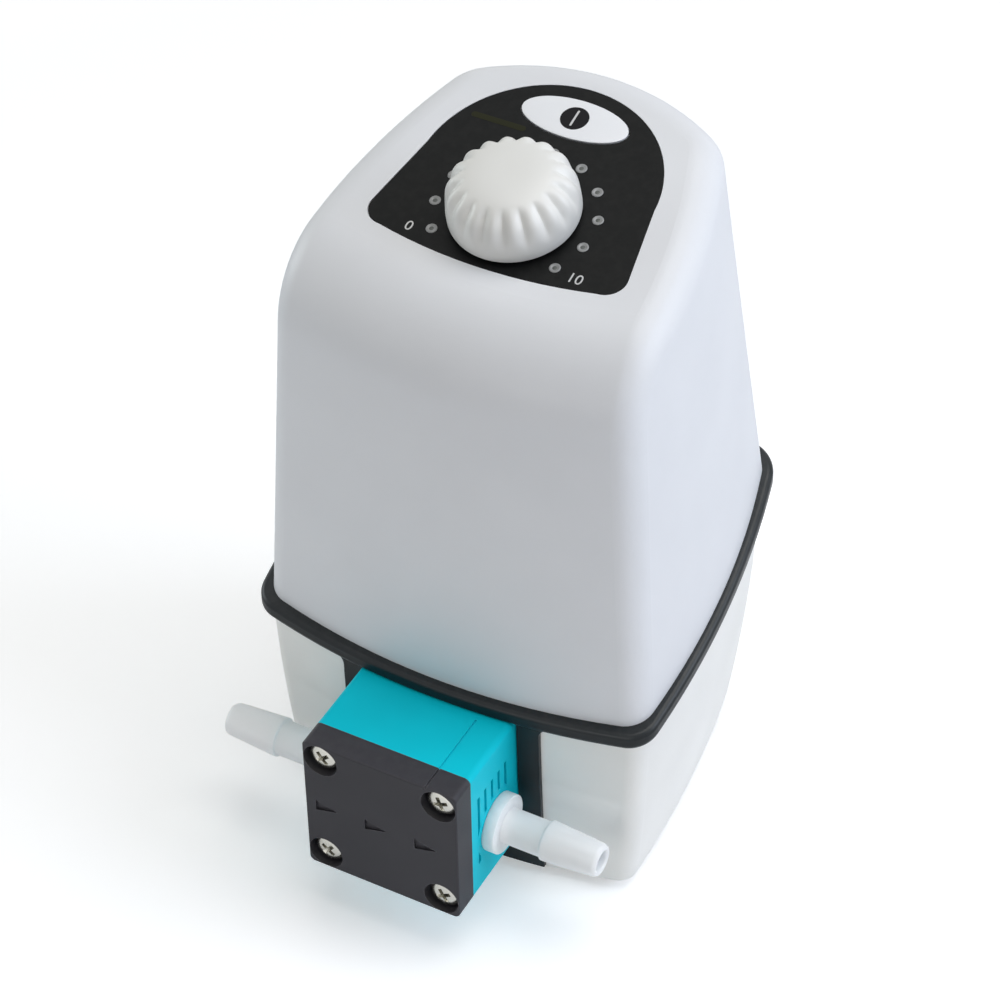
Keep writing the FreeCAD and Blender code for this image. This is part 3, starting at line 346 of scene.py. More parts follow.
def painted_recess_shade(name):
    """A mask of what lies far down between close walls, for painted shade in recesses."""
    group, given, out = shader_group(name, {"Reach": 0.9}, ["Mask"])
    reach = calculate(group, "MULTIPLY", given["Reach"], MM)
    open_share = add(group, "ShaderNodeAmbientOcclusion", {"samples": 8}, Distance=reach).outputs["AO"]
    closed_share = calculate(group, "SUBTRACT", 1.0, open_share)
    feed(group, out["Mask"], pick(group, closed_share, low=0.3, high=0.6))
    return group


def turned_lines(name):
    """The fine rings that a lathe or a cutter leaves, at even heights of the piece."""
    group, given, out = shader_group(name, {"Pitch": 0.35, "Jitter": 0.4}, ["Height"])
    space = millimetre_space(group)
    wobble = noise(group, space, 3.0)
    height = add(group, "ShaderNodeSeparateXYZ", None, Vector=space).outputs["Z"]
    turns = calculate(group, "DIVIDE", height, given["Pitch"])
    loose = calculate(group, "MULTIPLY", wobble, given["Jitter"])
    feed(group, out["Height"], calculate(group, "FRACT", calculate(group, "ADD", turns, loose)))
    return group


def placed(tree, make, **inputs):
    """The outputs of a shader group in this material, which is built where it isn't there yet."""
    name = make.__name__
    group = bpy.data.node_groups.get(name) or make(name)
    return add(tree, "ShaderNodeGroup", {"node_tree": group}, **inputs).outputs


def new_material(name="finish"):
    """An empty material, its node tree and its Principled shader."""
    material = bpy.data.materials.new(name)
    material.use_nodes = True
    return material, material.node_tree, material.node_tree.nodes["Principled BSDF"]


def give_surface(tree, shader, shown, rough, height, depth):
    """Feeds a shader its colour, its roughness and a bump of this depth in millimetres."""
    bump = add(tree, "ShaderNodeBump", None, Height=height, Distance=depth * MM, Strength=1.0)
    feed(tree, shader.inputs["Base Color"], shown)
    feed(tree, shader.inputs["Roughness"], rough)
    feed(tree, shader.inputs["Normal"], bump.outputs["Normal"])


def moulded(colour, roughness, grain=0.3, depth=0.02, cloud=0.06, edge=0.0, edge_colour=None, dust=0.0,
            specular=0.5):
    """Moulded plastic or rubber: grain, slow clouds of colour, edges lightened by wear and a painted highlight,
    and a little dust.
    """
    material, tree, shader = new_material()
    texture = placed(tree, moulded_grain, Grain=grain)
    shown = tint(tree, texture["Cloud"], darker(colour, 1 - cloud), colour)
    # Pale edges: partly wear, partly a painted highlight.
    if edge:
        wear_and_highlight_mask = placed(tree, edge_wear_and_highlight, Strength=edge)["Mask"]
        shown = tint(tree, wear_and_highlight_mask, shown, edge_colour or paler(colour, 0.3))
    if dust:
        settled = placed(tree, settled_dust, Amount=dust)["Mask"]
        shown = tint(tree, settled, shown, tone(190, 188, 184))
    rough = vary(tree, texture["Cloud"], roughness + 0.05, roughness - 0.04)
    give_surface(tree, shader, shown, rough, texture["Height"], depth)
    shader.inputs["Specular IOR Level"].default_value = specular
    return material


def metal(colour, roughness, scratches=0.4, edge=0.0, pitch=0.0, recess=0.0):
    """Plated, ground or cast metal, with scratches that catch the light."""
    material, tree, shader = new_material()
    texture = placed(tree, moulded_grain, Grain=0.5, Cloud=6.0)
    marks = placed(tree, hair_scratches, Strength=scratches)["Mask"]
    shown = tint(tree, texture["Cloud"], darker(colour, 0.86), colour)
    shown = tint(tree, marks, shown, paler(colour, 0.35))
    # Pale edges: partly wear, partly a painted highlight.
    if edge:
        wear_and_highlight_mask = placed(tree, edge_wear_and_highlight, Strength=edge, Width=0.2)["Mask"]
        shown = tint(tree, wear_and_highlight_mask, shown, paler(colour, 0.5))
    # Painted shade: the recesses are darkened to 12 per cent of the metal's colour.
    if recess:
        recess_shade_mask = placed(tree, painted_recess_shade, Reach=recess)["Mask"]
        shown = tint(tree, recess_shade_mask, shown, darker(colour, 0.12))
    height = placed(tree, turned_lines, Pitch=pitch)["Height"] if pitch else texture["Height"]
    clouded = vary(tree, texture["Cloud"], roughness + 0.07, roughness - 0.05)
    rough = calculate(tree, "ADD", clouded, calculate(tree, "MULTIPLY", marks, 0.12))
    give_surface(tree, shader, shown, rough, height, 0.01)
    shader.inputs["Metallic"].default_value = 1.0
    return material


def white_plastic():
    """The upper shell: satin, cool white, with a very fine mould texture."""
    return moulded(look().upper_shell, 0.42, grain=0.35, depth=0.012, cloud=0.025)


def grey_plastic():
    """The lower shell: the same kind of plastic, a little warmer."""
    return moulded(look().lower_shell, 0.45, grain=0.35, depth=0.014, cloud=0.035)


def black_rubber():
    """The seam band and the frame round the head: satin rubber with a soft sheen."""
    # The paler edges are partly wear, partly a painted highlight.
    return moulded(look().rubber, 0.33, grain=0.22, depth=0.01, cloud=0.15,
                   edge=0.1, dust=0.02, specular=0.28)


def foot_rubber():
    return moulded(tone(45, 45, 46), 0.75, grain=0.4, depth=0.03, cloud=0.2, dust=0.1)


def panel_film():
    """Printed film: smooth, dark and matt, with a faint orange-peel surface."""
    return moulded(look().film, 0.4, grain=0.9, depth=0.005, cloud=0.08, dust=0.01, specular=0.1)


def dot_plastic():
    """The grey windows of the dial."""
    return moulded(look().mark, 0.35, grain=0.2, depth=0.01, cloud=0.2)


def lamp_plastic():
    """The unlit lamps in the dial's windows."""
    return moulded(tone(82, 86, 82), 0.3, grain=0.2, depth=0.01, cloud=0.2)


def lens_plastic():
    """The unlit indicator's window: dark olive, a little glossier than the film."""
    return moulded(tone(41, 42, 25), 0.3, grain=0.4, depth=0.004, cloud=0.3, specular=0.1)


def digit_ink():
    return moulded(look().digit, 0.5, grain=0.2, depth=0.006, cloud=0.12)


def key_ink():
    return moulded(tone(22, 22, 25), 0.45, grain=0.3, depth=0.004, cloud=0.1, specular=0.1)


def key_plastic():
    return moulded(look().key, 0.36, grain=0.3, depth=0.008, cloud=0.04)


def knob_plastic():
    """The knob: warm white and satin."""
    return moulded(look().knob, 0.38, grain=0.3, depth=0.01, cloud=0.035)


def teal_plastic():
    """The pump head's block: saturated teal with a dull moulded surface."""
    # The paler teal along the edges is partly wear, partly a painted highlight.
    return moulded(look().head, 0.45, grain=0.28, depth=0.016, cloud=0.09,
                   edge=0.35, edge_colour=tone(70, 205, 216), specular=0.12)


def charcoal_plastic():
    """The pressure plate: charcoal, fine-textured, lighter along its edges with a painted highlight mixed with
    wear.
    """
    return moulded(look().plate, 0.44, grain=0.26, depth=0.014, cloud=0.08,
                   edge=0.6, edge_colour=tone(128, 127, 131), dust=0.015, specular=0.25)


def milky_plastic():
    """Natural translucent plastic: light travels some way into it and scatters."""
    material = moulded(look().connector, 0.45, grain=0.8, depth=0.008, cloud=0.03)
    shader = material.node_tree.nodes["Principled BSDF"]
    shader.inputs["Subsurface Weight"].default_value = 1.0
    shader.inputs["Subsurface Radius"].default_value = (1.0, 1.0, 1.0)
    shader.inputs["Subsurface Scale"].default_value = 2.2 * MM
    return material


def switch_plastic():
    return moulded(tone(60, 60, 64), 0.45, grain=0.3, depth=0.012, cloud=0.15, edge=0.3)


def inlet_plastic():
    return moulded(tone(38, 38, 40), 0.4, grain=0.25, depth=0.012, cloud=0.2, edge=0.35)


def valve_rubber():
    return moulded(tone(42, 42, 43), 0.6, grain=0.3, depth=0.02, cloud=0.2)


def circuit_board():
    """Green board: coated and glossy, faintly uneven."""
    return moulded(tone(20, 92, 58), 0.28, grain=0.7, depth=0.006, cloud=0.2)


def magnet_ferrite():
    return moulded(tone(70, 70, 73), 0.6, grain=0.3, depth=0.03, cloud=0.2, edge=0.4)


def screw_steel():
    """Nickel-plated screws, with painted shade in their recesses and edges lightened by wear and a painted
    highlight.
    """
    return metal(look().screw, 0.22, scratches=0.5, edge=0.5, recess=0.9)


def shaft_steel():
    return metal(tone(190, 190, 192), 0.24, scratches=0.3, pitch=0.3)


def bearing_steel():
    return metal(tone(200, 200, 203), 0.18, scratches=0.2, pitch=0.5)


def motor_steel():
    return metal(tone(170, 172, 172), 0.38, scratches=0.6, edge=0.3)


def core_steel():
    return metal(tone(112, 112, 116), 0.45, scratches=0.1, pitch=0.5)


def cast_aluminium():
    return metal(tone(186, 187, 190), 0.48, scratches=0.15, edge=0.3)


def brass_metal():
    return metal(tone(206, 172, 104), 0.3, scratches=0.3, pitch=0.4)


finishes = {make.__name__: make for make in (
    white_plastic, grey_plastic, black_rubber, foot_rubber, panel_film, dot_plastic, lamp_plastic,
    lens_plastic, digit_ink, key_ink, key_plastic, knob_plastic, teal_plastic, charcoal_plastic,
    milky_plastic, switch_plastic, inlet_plastic, valve_rubber, circuit_board, magnet_ferrite, screw_steel,
    shaft_steel, bearing_steel, motor_steel, core_steel, cast_aluminium, brass_metal)}


def paint(piece, name):
    """Gives a piece the finish of that name, which is made the first time it is asked for."""
    label = "pump_" + name
    if label not in bpy.data.materials:
        finishes[name]().name = label
    piece.data.materials.clear()
    piece.data.materials.append(bpy.data.materials[label])


def paint_nodes(*nodes):
    """Gives each solid the finish that the record names for it."""
    slots = {part["node"]: part["material_slot"] for part in frame["record"]["subparts"]}
    for node in nodes:
        paint(frame["nodes"][node], slots[node])


def dress(piece, finish_name, body):
    """Gives a new piece its finish and the body that carries it."""
    paint(piece, finish_name)
    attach(piece, body)


def soften(profile, radius, steps=4):
    """The same run of (radius, height) points with each inner corner turned into a small curve."""
    most = 0.45
    points = [Vector(point) for point in profile]
    run = [points[0]]
    for before, corner, after in zip(points, points[1:], points[2:]):
        back = before - corner
        ahead = after - corner
        reach = min(radius, back.length * most, ahead.length * most)
        start = corner + back.normalized() * reach
        end = corner + ahead.normalized() * reach
        for n in range(steps + 1):
            share = n / steps
            run.append(start * (1 - share) ** 2 + corner * 2 * share * (1 - share) + end * share ** 2)
    return run + [points[-1]]


def lathe(profile, steps, shape=None):
    """A turned mesh about Z. Ends of the profile on the axis close it, and shape may move each point."""
    mesh = bmesh.new()
    rings = []
    for radius, height in profile:
        if radius < SMALL:
            rings.append([mesh.verts.new((0, 0, height))])
            continue
        ring = []
        for n in range(steps):
            angle = 2 * pi * n / steps
            r, z = shape(radius, height, angle) if shape else (radius, height)
            ring.append(mesh.verts.new((r * cos(angle), r * sin(angle), z)))
        rings.append(ring)
    for low, high in zip(rings, rings[1:]):
        for n in range(steps):
            m = n + 1
            corners = [low[n % len(low)], low[m % len(low)], high[m % len(high)], high[n % len(high)]]
            unique = list(dict.fromkeys(corners))
            if len(unique) > 2:
                mesh.faces.new(unique)
    bmesh.ops.recalc_face_normals(mesh, faces=mesh.faces)
    return mesh


def slab(outline, low, high):
    """A flat plate with this outline, from low to high."""
    mesh = bmesh.new()
    bottom = [mesh.verts.new((x, y, low)) for x, y in outline]
    top = [mesh.verts.new((x, y, high)) for x, y in outline]
    mesh.faces.new(bottom)
    mesh.faces.new(top)
    for n in range(len(outline)):
        m = (n + 1) % len(outline)
        mesh.faces.new((bottom[n], bottom[m], top[m], top[n]))
    bmesh.ops.recalc_face_normals(mesh, faces=mesh.faces)
    return mesh


def pill(half_length, radius, steps=10):
    """The outline of a bar with round ends, along X, its middle at the origin."""
    outline = []
    for side in (1, -1):
        for n in range(steps + 1):
            angle = pi * n / steps - pi / 2
            outline.append((side * (half_length + radius * cos(angle)), side * radius * sin(angle)))
    return outline


def moved(mesh, place):
    bmesh.ops.transform(mesh, matrix=place, verts=mesh.verts)
    return mesh


def joined(meshes):
    """Several bmeshes as one."""
    whole = bmesh.new()
    for mesh in meshes:
        data = bpy.data.meshes.new("joined")
        mesh.to_mesh(data)
        mesh.free()
        whole.from_mesh(data)
        bpy.data.meshes.remove(data)
    return whole


def mesh_object(name, mesh):
    """A smooth-shaded object from a bmesh, which is used up."""
    data = bpy.data.meshes.new(name)
    mesh.to_mesh(data)
    mesh.free()
    data.shade_smooth()
    data.set_sharp_from_angle(angle=SHARP_ANGLE)
    piece = bpy.data.objects.new(name, data)
    bpy.context.scene.collection.objects.link(piece)
    return piece


def carve(piece, cutter):
    """Takes the cutter out of the piece and removes the cutter."""
    modifier = piece.modifiers.new("carve", "BOOLEAN")
    modifier.operation = "DIFFERENCE"
    modifier.solver = "EXACT"
    modifier.object = cutter
    bpy.context.view_layer.update()
    evaluated = piece.evaluated_get(bpy.context.evaluated_depsgraph_get())
    data = bpy.data.meshes.new_from_object(evaluated)
    piece.modifiers.clear()
    piece.data = data
    data.set_sharp_from_angle(angle=SHARP_ANGLE)
    bpy.data.objects.remove(cutter)


def panel_place():
    """The tilted panel's frame, from the knob's own joint: X right, Y up the slope, Z out of the panel."""
    joint = next(joint for joint in frame["joints"] if joint["name"] == "knob_turn")
    out = Vector(joint["axis"]).normalized()
    right = Vector((1, 0, 0))
    up = out.cross(right)
    place = Matrix((right, up, out)).transposed().to_4x4()
    place.translation = Vector(joint["pos_m"])
    return place


def on_panel(name, mesh, centre=(0, 0, 0), turn=0.0):
    """An object from a bmesh made flat, set on the panel at this centre and turned in its plane."""
    place = panel_place() @ Matrix.Translation(centre) @ Matrix.Rotation(turn, 4, "Z")
    return mesh_object(name, moved(mesh, place))


def dial_point(share):
    """A place on the dial's ring, share 0 at its first dot and 1 at its last, clockwise."""
    marks = settings("marks")
    angle = pi / 2 + marks.sweep * (0.5 - share)
    return Vector((marks.ring_radius * cos(angle), marks.ring_radius * sin(angle), 0))


def dial_ring_of(name, profile):
    """The same small turned shape at each dot of the dial."""
    count = settings("marks").dots
    places = [Matrix.Translation(dial_point(n / (count - 1))) for n in range(count)]
    return on_panel(name, joined([moved(lathe(profile, 36), place) for place in places]))


def dial_dots():
    """The dial's small round windows, each a raised rim round a shallow dish."""
    radius = settings("marks").dot_radius
    sunk = -0.2 * MM
    edge = 0.14 * MM
    rim = 0.2 * MM
    dish = 0.06 * MM
    middle = 0.02 * MM
    profile = [(0, sunk), (radius, sunk), (radius, edge), (radius * 0.75, rim), (radius * 0.5, dish),
               (0, middle)]
    return dial_ring_of("dial_dots", soften(profile, 0.12 * MM))


def dial_lamps():
    """The dark lamp in the middle of each window."""
    radius = settings("marks").dot_radius * 0.42
    sunk = -0.1 * MM
    edge = 0.06 * MM
    shoulder = 0.1 * MM
    middle = 0.12 * MM
    profile = [(0, sunk), (radius, sunk), (radius, edge), (radius * 0.6, shoulder), (0, middle)]
    return dial_ring_of("dial_lamps", soften(profile, 0.05 * MM))


def dial_number(name, text, centre):
    """One printed number, as a thin closed mesh on the film."""
    digit_share_of_font = 0.7
    curve = bpy.data.curves.new(name, "FONT")
    curve.body = text
    curve.size = settings("marks").digit_height / digit_share_of_font
    curve.align_x = "CENTER"
    curve.align_y = "CENTER"
    curve.extrude = settings("marks").ink
    curve.resolution_u = 6
    writing = bpy.data.objects.new(name + "_writing", curve)
    bpy.context.scene.collection.objects.link(writing)
    bpy.context.view_layer.update()
    data = bpy.data.meshes.new_from_object(writing.evaluated_get(bpy.context.evaluated_depsgraph_get()))
    bpy.data.objects.remove(writing)
    mesh = bmesh.new()
    mesh.from_mesh(data)
    bpy.data.meshes.remove(data)
    bmesh.ops.remove_doubles(mesh, verts=mesh.verts, dist=SMALL)
    return on_panel(name, mesh, centre)


def indicator_lens():
    """The unlit indicator: a slim window beside the key."""
    reach = 6.2 * MM
    radius = 0.8 * MM
    sunk = -0.02 * MM
    proud = 0.03 * MM
    middle = Vector((-16.3, 23.2, 0)) * MM
    return on_panel("indicator_lens", slab(pill(reach, radius), sunk, proud), middle)


def key_centre():
    """The middle of the oval key on the panel, from its solid."""
    inverse = panel_place().inverted()
    heights = [(inverse @ vertex.co).y for vertex in frame["nodes"]["power_key"].data.vertices]
    return Vector((0, (min(heights) + max(heights)) / 2, 0))


def key_dome(x, y):
    """The height of the key's domed top over the panel."""
    key = settings("key")
    inside = max(0.0, 1 - (x / key.half_width) ** 2 - (y / key.half_depth) ** 2)
    return key.edge + (key.height - key.edge) * inside ** key.fullness


def oval_key():
    """The power key: a domed oval cap with its keeping flange inside the housing."""
    key = settings("key")
    flange_radius = key.half_width + key.flange
    profile = [(0, -key.flange_foot), (flange_radius, -key.flange_foot), (flange_radius, -key.flange_top),
               (key.half_width, -key.flange_top)]
    steps = 24
    for n in range(steps):
        radius = key.half_width * cos(pi / 2 * n / steps)
        profile.append((radius, key_dome(radius, 0)))
    profile.append((0, key.height))
    mesh = lathe(profile, 128)
    for vertex in mesh.verts:
        beyond = max(0.0, vertex.co.xy.length - key.half_width)
        vertex.co.y *= (key.half_depth + beyond) / (key.half_width + beyond)
    piece = on_panel("power_key_domed", mesh, key_centre())
    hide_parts("power_key")
    return piece


def key_disc():
    """The dark disc printed on the key, which follows its dome."""
    radius = settings("key").disc_radius
    ink = settings("marks").ink
    rings = 8
    top = [(radius * (1 - n / rings), ink) for n in range(rings + 1)]
    mesh = lathe([(0, -ink), (radius, -ink)] + top, 64)
    for vertex in mesh.verts:
        vertex.co.z += key_dome(vertex.co.x, vertex.co.y)
    return on_panel("key_disc", mesh, key_centre())


def key_bar():
    """The pale bar on the disc, straight, with its underside in the dome."""
    reach = 2.2 * MM
    radius = 0.25 * MM
    disc_top = settings("key").height + settings("marks").ink
    sunk = 0.3 * MM
    proud = 0.02 * MM
    bar = slab(pill(reach, radius, 4), disc_top - sunk, disc_top + proud)
    return on_panel("key_bar", bar, key_centre(), pi / 2)


def eased(value, low, high):
    """0 up to low, 1 from high on, and a smooth rise between them."""
    share = min(1.0, max(0.0, (value - low) / (high - low)))
    return share * share * (3 - 2 * share)


def knob_outline(sizes):
    """The knob's outside from its foot to the middle of its crown: a bell, as (radius, height)."""
    edge = 0.5 * MM
    start = sizes.foot + edge
    points = [(sizes.skirt_radius - edge, sizes.foot), (sizes.skirt_radius - edge / 4, sizes.foot + edge / 4)]
    steps = 56
    power = 2 / sizes.squareness
    for n in range(steps):
        angle = pi / 2 * n / steps
        points.append((sizes.skirt_radius * cos(angle) ** power,
                       start + (sizes.height - start) * sin(angle) ** power))
    return points + [(0, sizes.height)]


def fluted(sizes, radius, height, angle):
    """The point moved inward, across the bell's surface, by the depth that the flutes have there."""
    crown_start = 0.6
    crown_full = 0.85
    rounding = 0.03
    full_drop = 0.83
    lean = 1.8
    across = radius / sizes.skirt_radius
    upward = max(0.0, height / sizes.height)
    ridge = sqrt(cos(sizes.flutes * angle / 2) ** 2 * (1 - rounding) + rounding)
    depth = sizes.flute_depth * (1 - ridge) / full_drop
    depth *= eased(across, crown_start, crown_full) * eased(height, sizes.flute_end, sizes.flute_full)
    outward = Vector((across ** lean, upward ** lean)).normalized()
    return radius - depth * outward.x, height - depth * outward.y


def speed_knob():
    """The fluted knob: rounded ridges with narrow grooves that start on the crown and fade on the side."""
    sizes = settings("knob")
    steps_per_flute = 16
    margin = 0.1 * MM
    inside = [(0, sizes.bore_top), (sizes.bore_radius, sizes.bore_top),
              (sizes.bore_radius, sizes.hollow_roof), (sizes.hollow_radius, sizes.hollow_roof),
              (sizes.hollow_mouth, sizes.foot)]

    def shape(radius, height, angle):
        if radius < sizes.hollow_mouth + margin and height < sizes.bore_top + margin:
            return radius, height
        return fluted(sizes, radius, height, angle)

    knob = lathe(inside + knob_outline(sizes), sizes.flutes * steps_per_flute, shape)
    piece = on_panel("speed_knob_fluted", knob)
    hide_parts("speed_knob")
    return piece


def connector_profile(sizes, reach):
    """Half of a connector's section as (radius, height), from its threaded end round to its mouth."""
    play = 0.12 * MM
    spigot_radius = sizes.neck_radius - play
    barb_start = reach - sizes.barb_length
    barb_step = 0.15 * MM
    barb_land = 1.1 * MM
    nose = 0.8 * MM
    nose_start = sizes.tip_radius + 0.2 * MM
    nose_end = sizes.tip_radius - 0.3 * MM
    rim = 0.35 * MM
    outer = [(sizes.bore_radius, -sizes.spigot), (spigot_radius, -sizes.spigot), (spigot_radius, 0),
             (sizes.flange_radius, 0), (sizes.flange_radius, sizes.flange),
             (sizes.neck_radius, sizes.flange), (sizes.neck_radius, barb_start),
             (sizes.barb_radius, barb_start + barb_step), (sizes.barb_radius, barb_start + barb_land),
             (nose_start, reach - nose), (nose_end, reach),
             (sizes.bore_radius + rim, reach), (sizes.bore_radius, reach - rim),
             (sizes.bore_radius, -sizes.spigot)]
    return soften(outer, 0.3 * MM, 3)


def hose_connector(node, side):
    """One barbed connector, turned with softened edges, between its solid's own ends."""
    sizes = settings("connectors")
    low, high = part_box(node)
    reach = high.x - low.x - sizes.spigot
    body = lathe(connector_profile(sizes, reach), 72)
    bmesh.ops.remove_doubles(body, verts=body.verts, dist=SMALL)
    centre = (low + high) / 2
    seat = Vector((high.x - reach if side > 0 else low.x + reach, centre.y, centre.z))
    place = Matrix.Translation(seat) @ Matrix.Rotation(side * pi / 2, 4, "Y")
    piece = mesh_object(node + "_turned", moved(body, place))
    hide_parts(node)
    return piece


def recess_cutters(sizes, turn):
    """The two crossed arms that cut a recess, narrower and slimmer at the bottom."""
    bottom_reach = 0.45
    bottom_width = 0.62
    half_width = sizes.recess_width / 2
    arms = []
    for n in range(2):
        outline = [(x * sizes.recess_reach, y * half_width) for x, y in ((-1, -1), (1, -1), (1, 1), (-1, 1))]
        arm = slab(outline, -sizes.recess_depth, MM)
        for vertex in arm.verts:
            if vertex.co.z < 0:
                vertex.co.x *= bottom_reach
                vertex.co.y *= bottom_width
        arms.append(moved(arm, Matrix.Rotation(turn + n * pi / 2, 4, "Z")))
    return arms


def pan_screw(sizes, length, turn):
    """A pan-head screw standing on the origin, its head towards Z, with a cross recess."""
    point = 0.8 * MM
    point_share = 0.7
    roundness = 0.72
    steps = 12
    shank = sizes.shank_radius
    wall = 0.9 * MM
    top = sizes.head_height
    profile = [(0, -length), (shank * point_share, -length), (shank, -length + point), (shank, 0),
               (sizes.head_radius, 0), (sizes.head_radius, wall)]
    for n in range(1, steps):
        angle = pi / 2 * n / steps
        profile.append((sizes.head_radius * cos(angle) ** roundness, wall + (top - wall) * sin(angle)))
    profile.append((0, top))
    screw = mesh_object("screw", lathe(profile, 64))
    for cutter in recess_cutters(sizes, turn):
        carve(screw, mesh_object("cutter", moved(cutter, Matrix.Translation((0, 0, top)))))
    mesh = bmesh.new()
    mesh.from_mesh(screw.data)
    bpy.data.objects.remove(screw)
    return mesh


def head_screws():
    """The four screws of the pump head, each turned to its own angle as they were left."""
    sizes = settings("screws")
    low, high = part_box("head_screws")
    spacing_x = high.x - low.x - 2 * sizes.head_radius
    spacing_z = high.z - low.z - 2 * sizes.head_radius
    centre = (low + high) / 2
    seat_y = low.y + sizes.head_height
    turns = {(-1, 1): 38, (1, 1): 22, (-1, -1): 52, (1, -1): 30}
    screws = []
    for (side_x, side_z), turn in turns.items():
        screw = pan_screw(sizes, high.y - seat_y, radians(turn))
        at = Vector((centre.x + side_x * spacing_x / 2, seat_y, centre.z + side_z * spacing_z / 2))
        screws.append(moved(screw, Matrix.Translation(at) @ Matrix.Rotation(pi / 2, 4, "X")))
    piece = mesh_object("head_screws_recessed", joined(screws))
    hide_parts("head_screws")
    return piece


class PUMP_OT_housing(bpy.types.Operator):
    """Finish the two shells, the seam band, the feet and the housing screws."""

    bl_idname = "pump.housing"
    bl_label = "Housing"

    def execute(self, context):
        paint_nodes("upper_housing", "lower_housing", "seam_band", "rubber_feet", "housing_screws")
        return {"FINISHED"}


class PUMP_OT_panel(bpy.types.Operator):
    """Finish the panel's film and print its dots, numbers and indicator."""

    bl_idname = "pump.panel"
    bl_label = "Panel"

    def execute(self, context):
        paint_nodes("panel_overlay")
        dress(dial_dots(), "dot_plastic", "root")
        dress(dial_lamps(), "lamp_plastic", "root")
        zero_place = dial_point(0) + Vector((-5.2, -1.2, 0)) * MM
        ten_place = dial_point(1) + Vector((5.6, -1.2, 0)) * MM
        dress(dial_number("dial_zero", "0", zero_place), "digit_ink", "root")
        dress(dial_number("dial_ten", "10", ten_place), "digit_ink", "root")
        dress(indicator_lens(), "lens_plastic", "root")
        return {"FINISHED"}


class PUMP_OT_power_key(bpy.types.Operator):
    """Build the domed power key and print its disc and bar."""

    bl_idname = "pump.power_key"
    bl_label = "Power key"

    def execute(self, context):
        dress(oval_key(), "key_plastic", "key")
        dress(key_disc(), "key_ink", "key")
        dress(key_bar(), "digit_ink", "key")
        return {"FINISHED"}


class PUMP_OT_speed_knob(bpy.types.Operator):
    """Build the fluted speed knob and finish its shaft."""

    bl_idname = "pump.speed_knob"
    bl_label = "Speed knob"

    def execute(self, context):
        dress(speed_knob(), "knob_plastic", "knob")
        paint_nodes("knob_shaft")
        return {"FINISHED"}


class PUMP_OT_head(bpy.types.Operator):
    """Finish the pump head's layers and build its four screws."""

    bl_idname = "pump.head"
    bl_label = "Pump head"

    def execute(self, context):
        paint_nodes("front_plate", "head_block", "valve_plate", "valve_discs", "diaphragm", "diaphragm_stud")
        dress(head_screws(), "screw_steel", "root")
        return {"FINISHED"}


class PUMP_OT_connectors(bpy.types.Operator):
    """Build the two hose connectors and finish their seals."""

    bl_idname = "pump.connectors"
    bl_label = "Hose connectors"

    def execute(self, context):
        for node, side in (("hose_connector_left", -1), ("hose_connector_right", 1)):
            dress(hose_connector(node, side), "milky_plastic", "root")
        paint_nodes("connector_seals")
        return {"FINISHED"}


class PUMP_OT_inlet(bpy.types.Operator):
    """Finish the power inlet at the back."""

    bl_idname = "pump.inlet"
    bl_label = "Power inlet"

    def execute(self, context):
        paint_nodes("power_inlet", "inlet_pin", "inlet_nut")
        return {"FINISHED"}


class PUMP_OT_electronics(bpy.types.Operator):
    """Finish the board, the potentiometer and the key's switch under the panel."""

    bl_idname = "pump.electronics"
    bl_label = "Electronics"

    def execute(self, context):
        paint_nodes("control_board", "board_screws", "potentiometer", "pot_nut", "key_switch")
        return {"FINISHED"}


class PUMP_OT_drive(bpy.types.Operator):
    """Finish the crankcase, the crank drive and the motor."""

    bl_idname = "pump.drive"
    bl_label = "Drive"

    def execute(self, context):
        paint_nodes("crankcase", "connecting_rod", "rod_bearing", "crank_hub", "counterweight",
                    "motor_plate", "motor_screws", "motor_can", "motor_magnets", "motor_bearings",
                    "motor_brushes", "armature", "motor_shaft")
        return {"FINISHED"}


def studio_floor(stage):
    """A wide plain floor, faintly mottled, which the camera sees go white with distance."""
    mesh = bmesh.new()
    bmesh.ops.create_grid(mesh, x_segments=8, y_segments=8, size=3.0)
    floor = mesh_object("studio_floor", mesh)
    material, tree, shader = new_material("pump_pale_floor")
    cloud = noise(tree, millimetre_space(tree), 400.0)
    feed(tree, shader.inputs["Base Color"], tint(tree, cloud, darker(stage.floor, 0.985), stage.floor))
    shader.inputs["Roughness"].default_value = 0.8
    white_from = 0.35
    white_at = 1.4
    seen = add(tree, "ShaderNodeLightPath").outputs["Is Camera Ray"]
    away = add(tree, "ShaderNodeVectorMath", {"operation": "LENGTH"})
    feed(tree, away.inputs[0], add(tree, "ShaderNodeTexCoord").outputs["Object"])
    far_off = pick(tree, away.outputs["Value"], white_from, white_at)
    lift = vary(tree, far_off, stage.floor_lift, 1.0)
    feed(tree, shader.inputs["Emission Color"], WHITE)
    feed(tree, shader.inputs["Emission Strength"], calculate(tree, "MULTIPLY", seen, lift))
    floor.data.materials.append(material)


def studio_room(stage):
    """Even light from all round, which the camera, mirrors and glass see as plain white."""
    world = bpy.data.worlds.new("studio_room")
    bpy.context.scene.world = world
    world.use_nodes = True
    tree = world.node_tree
    tree.nodes.clear()
    path = add(tree, "ShaderNodeLightPath").outputs
    seen = calculate(tree, "MAXIMUM", path["Is Camera Ray"], path["Is Glossy Ray"])
    seen = calculate(tree, "MAXIMUM", seen, path["Is Transmission Ray"])
    strength = vary(tree, seen, stage.room_light, 1.0)
    light = add(tree, "ShaderNodeBackground", None, Color=WHITE, Strength=strength)
    out = add(tree, "ShaderNodeOutputWorld")
    tree.links.new(light.outputs["Background"], out.inputs["Surface"])


def studio_lamp(name, place, target, width, power, colour=WHITE):
    """A square soft lamp that faces its target."""
    light = bpy.data.lights.new(name, "AREA")
    light.shape = "SQUARE"
    light.size = width
    light.energy = power
    light.color = colour
    lamp = bpy.data.objects.new(name, light)
    lamp.location = place
    lamp.rotation_euler = (Vector(place) - Vector(target)).to_track_quat("Z", "Y").to_euler()
    bpy.context.scene.collection.objects.link(lamp)


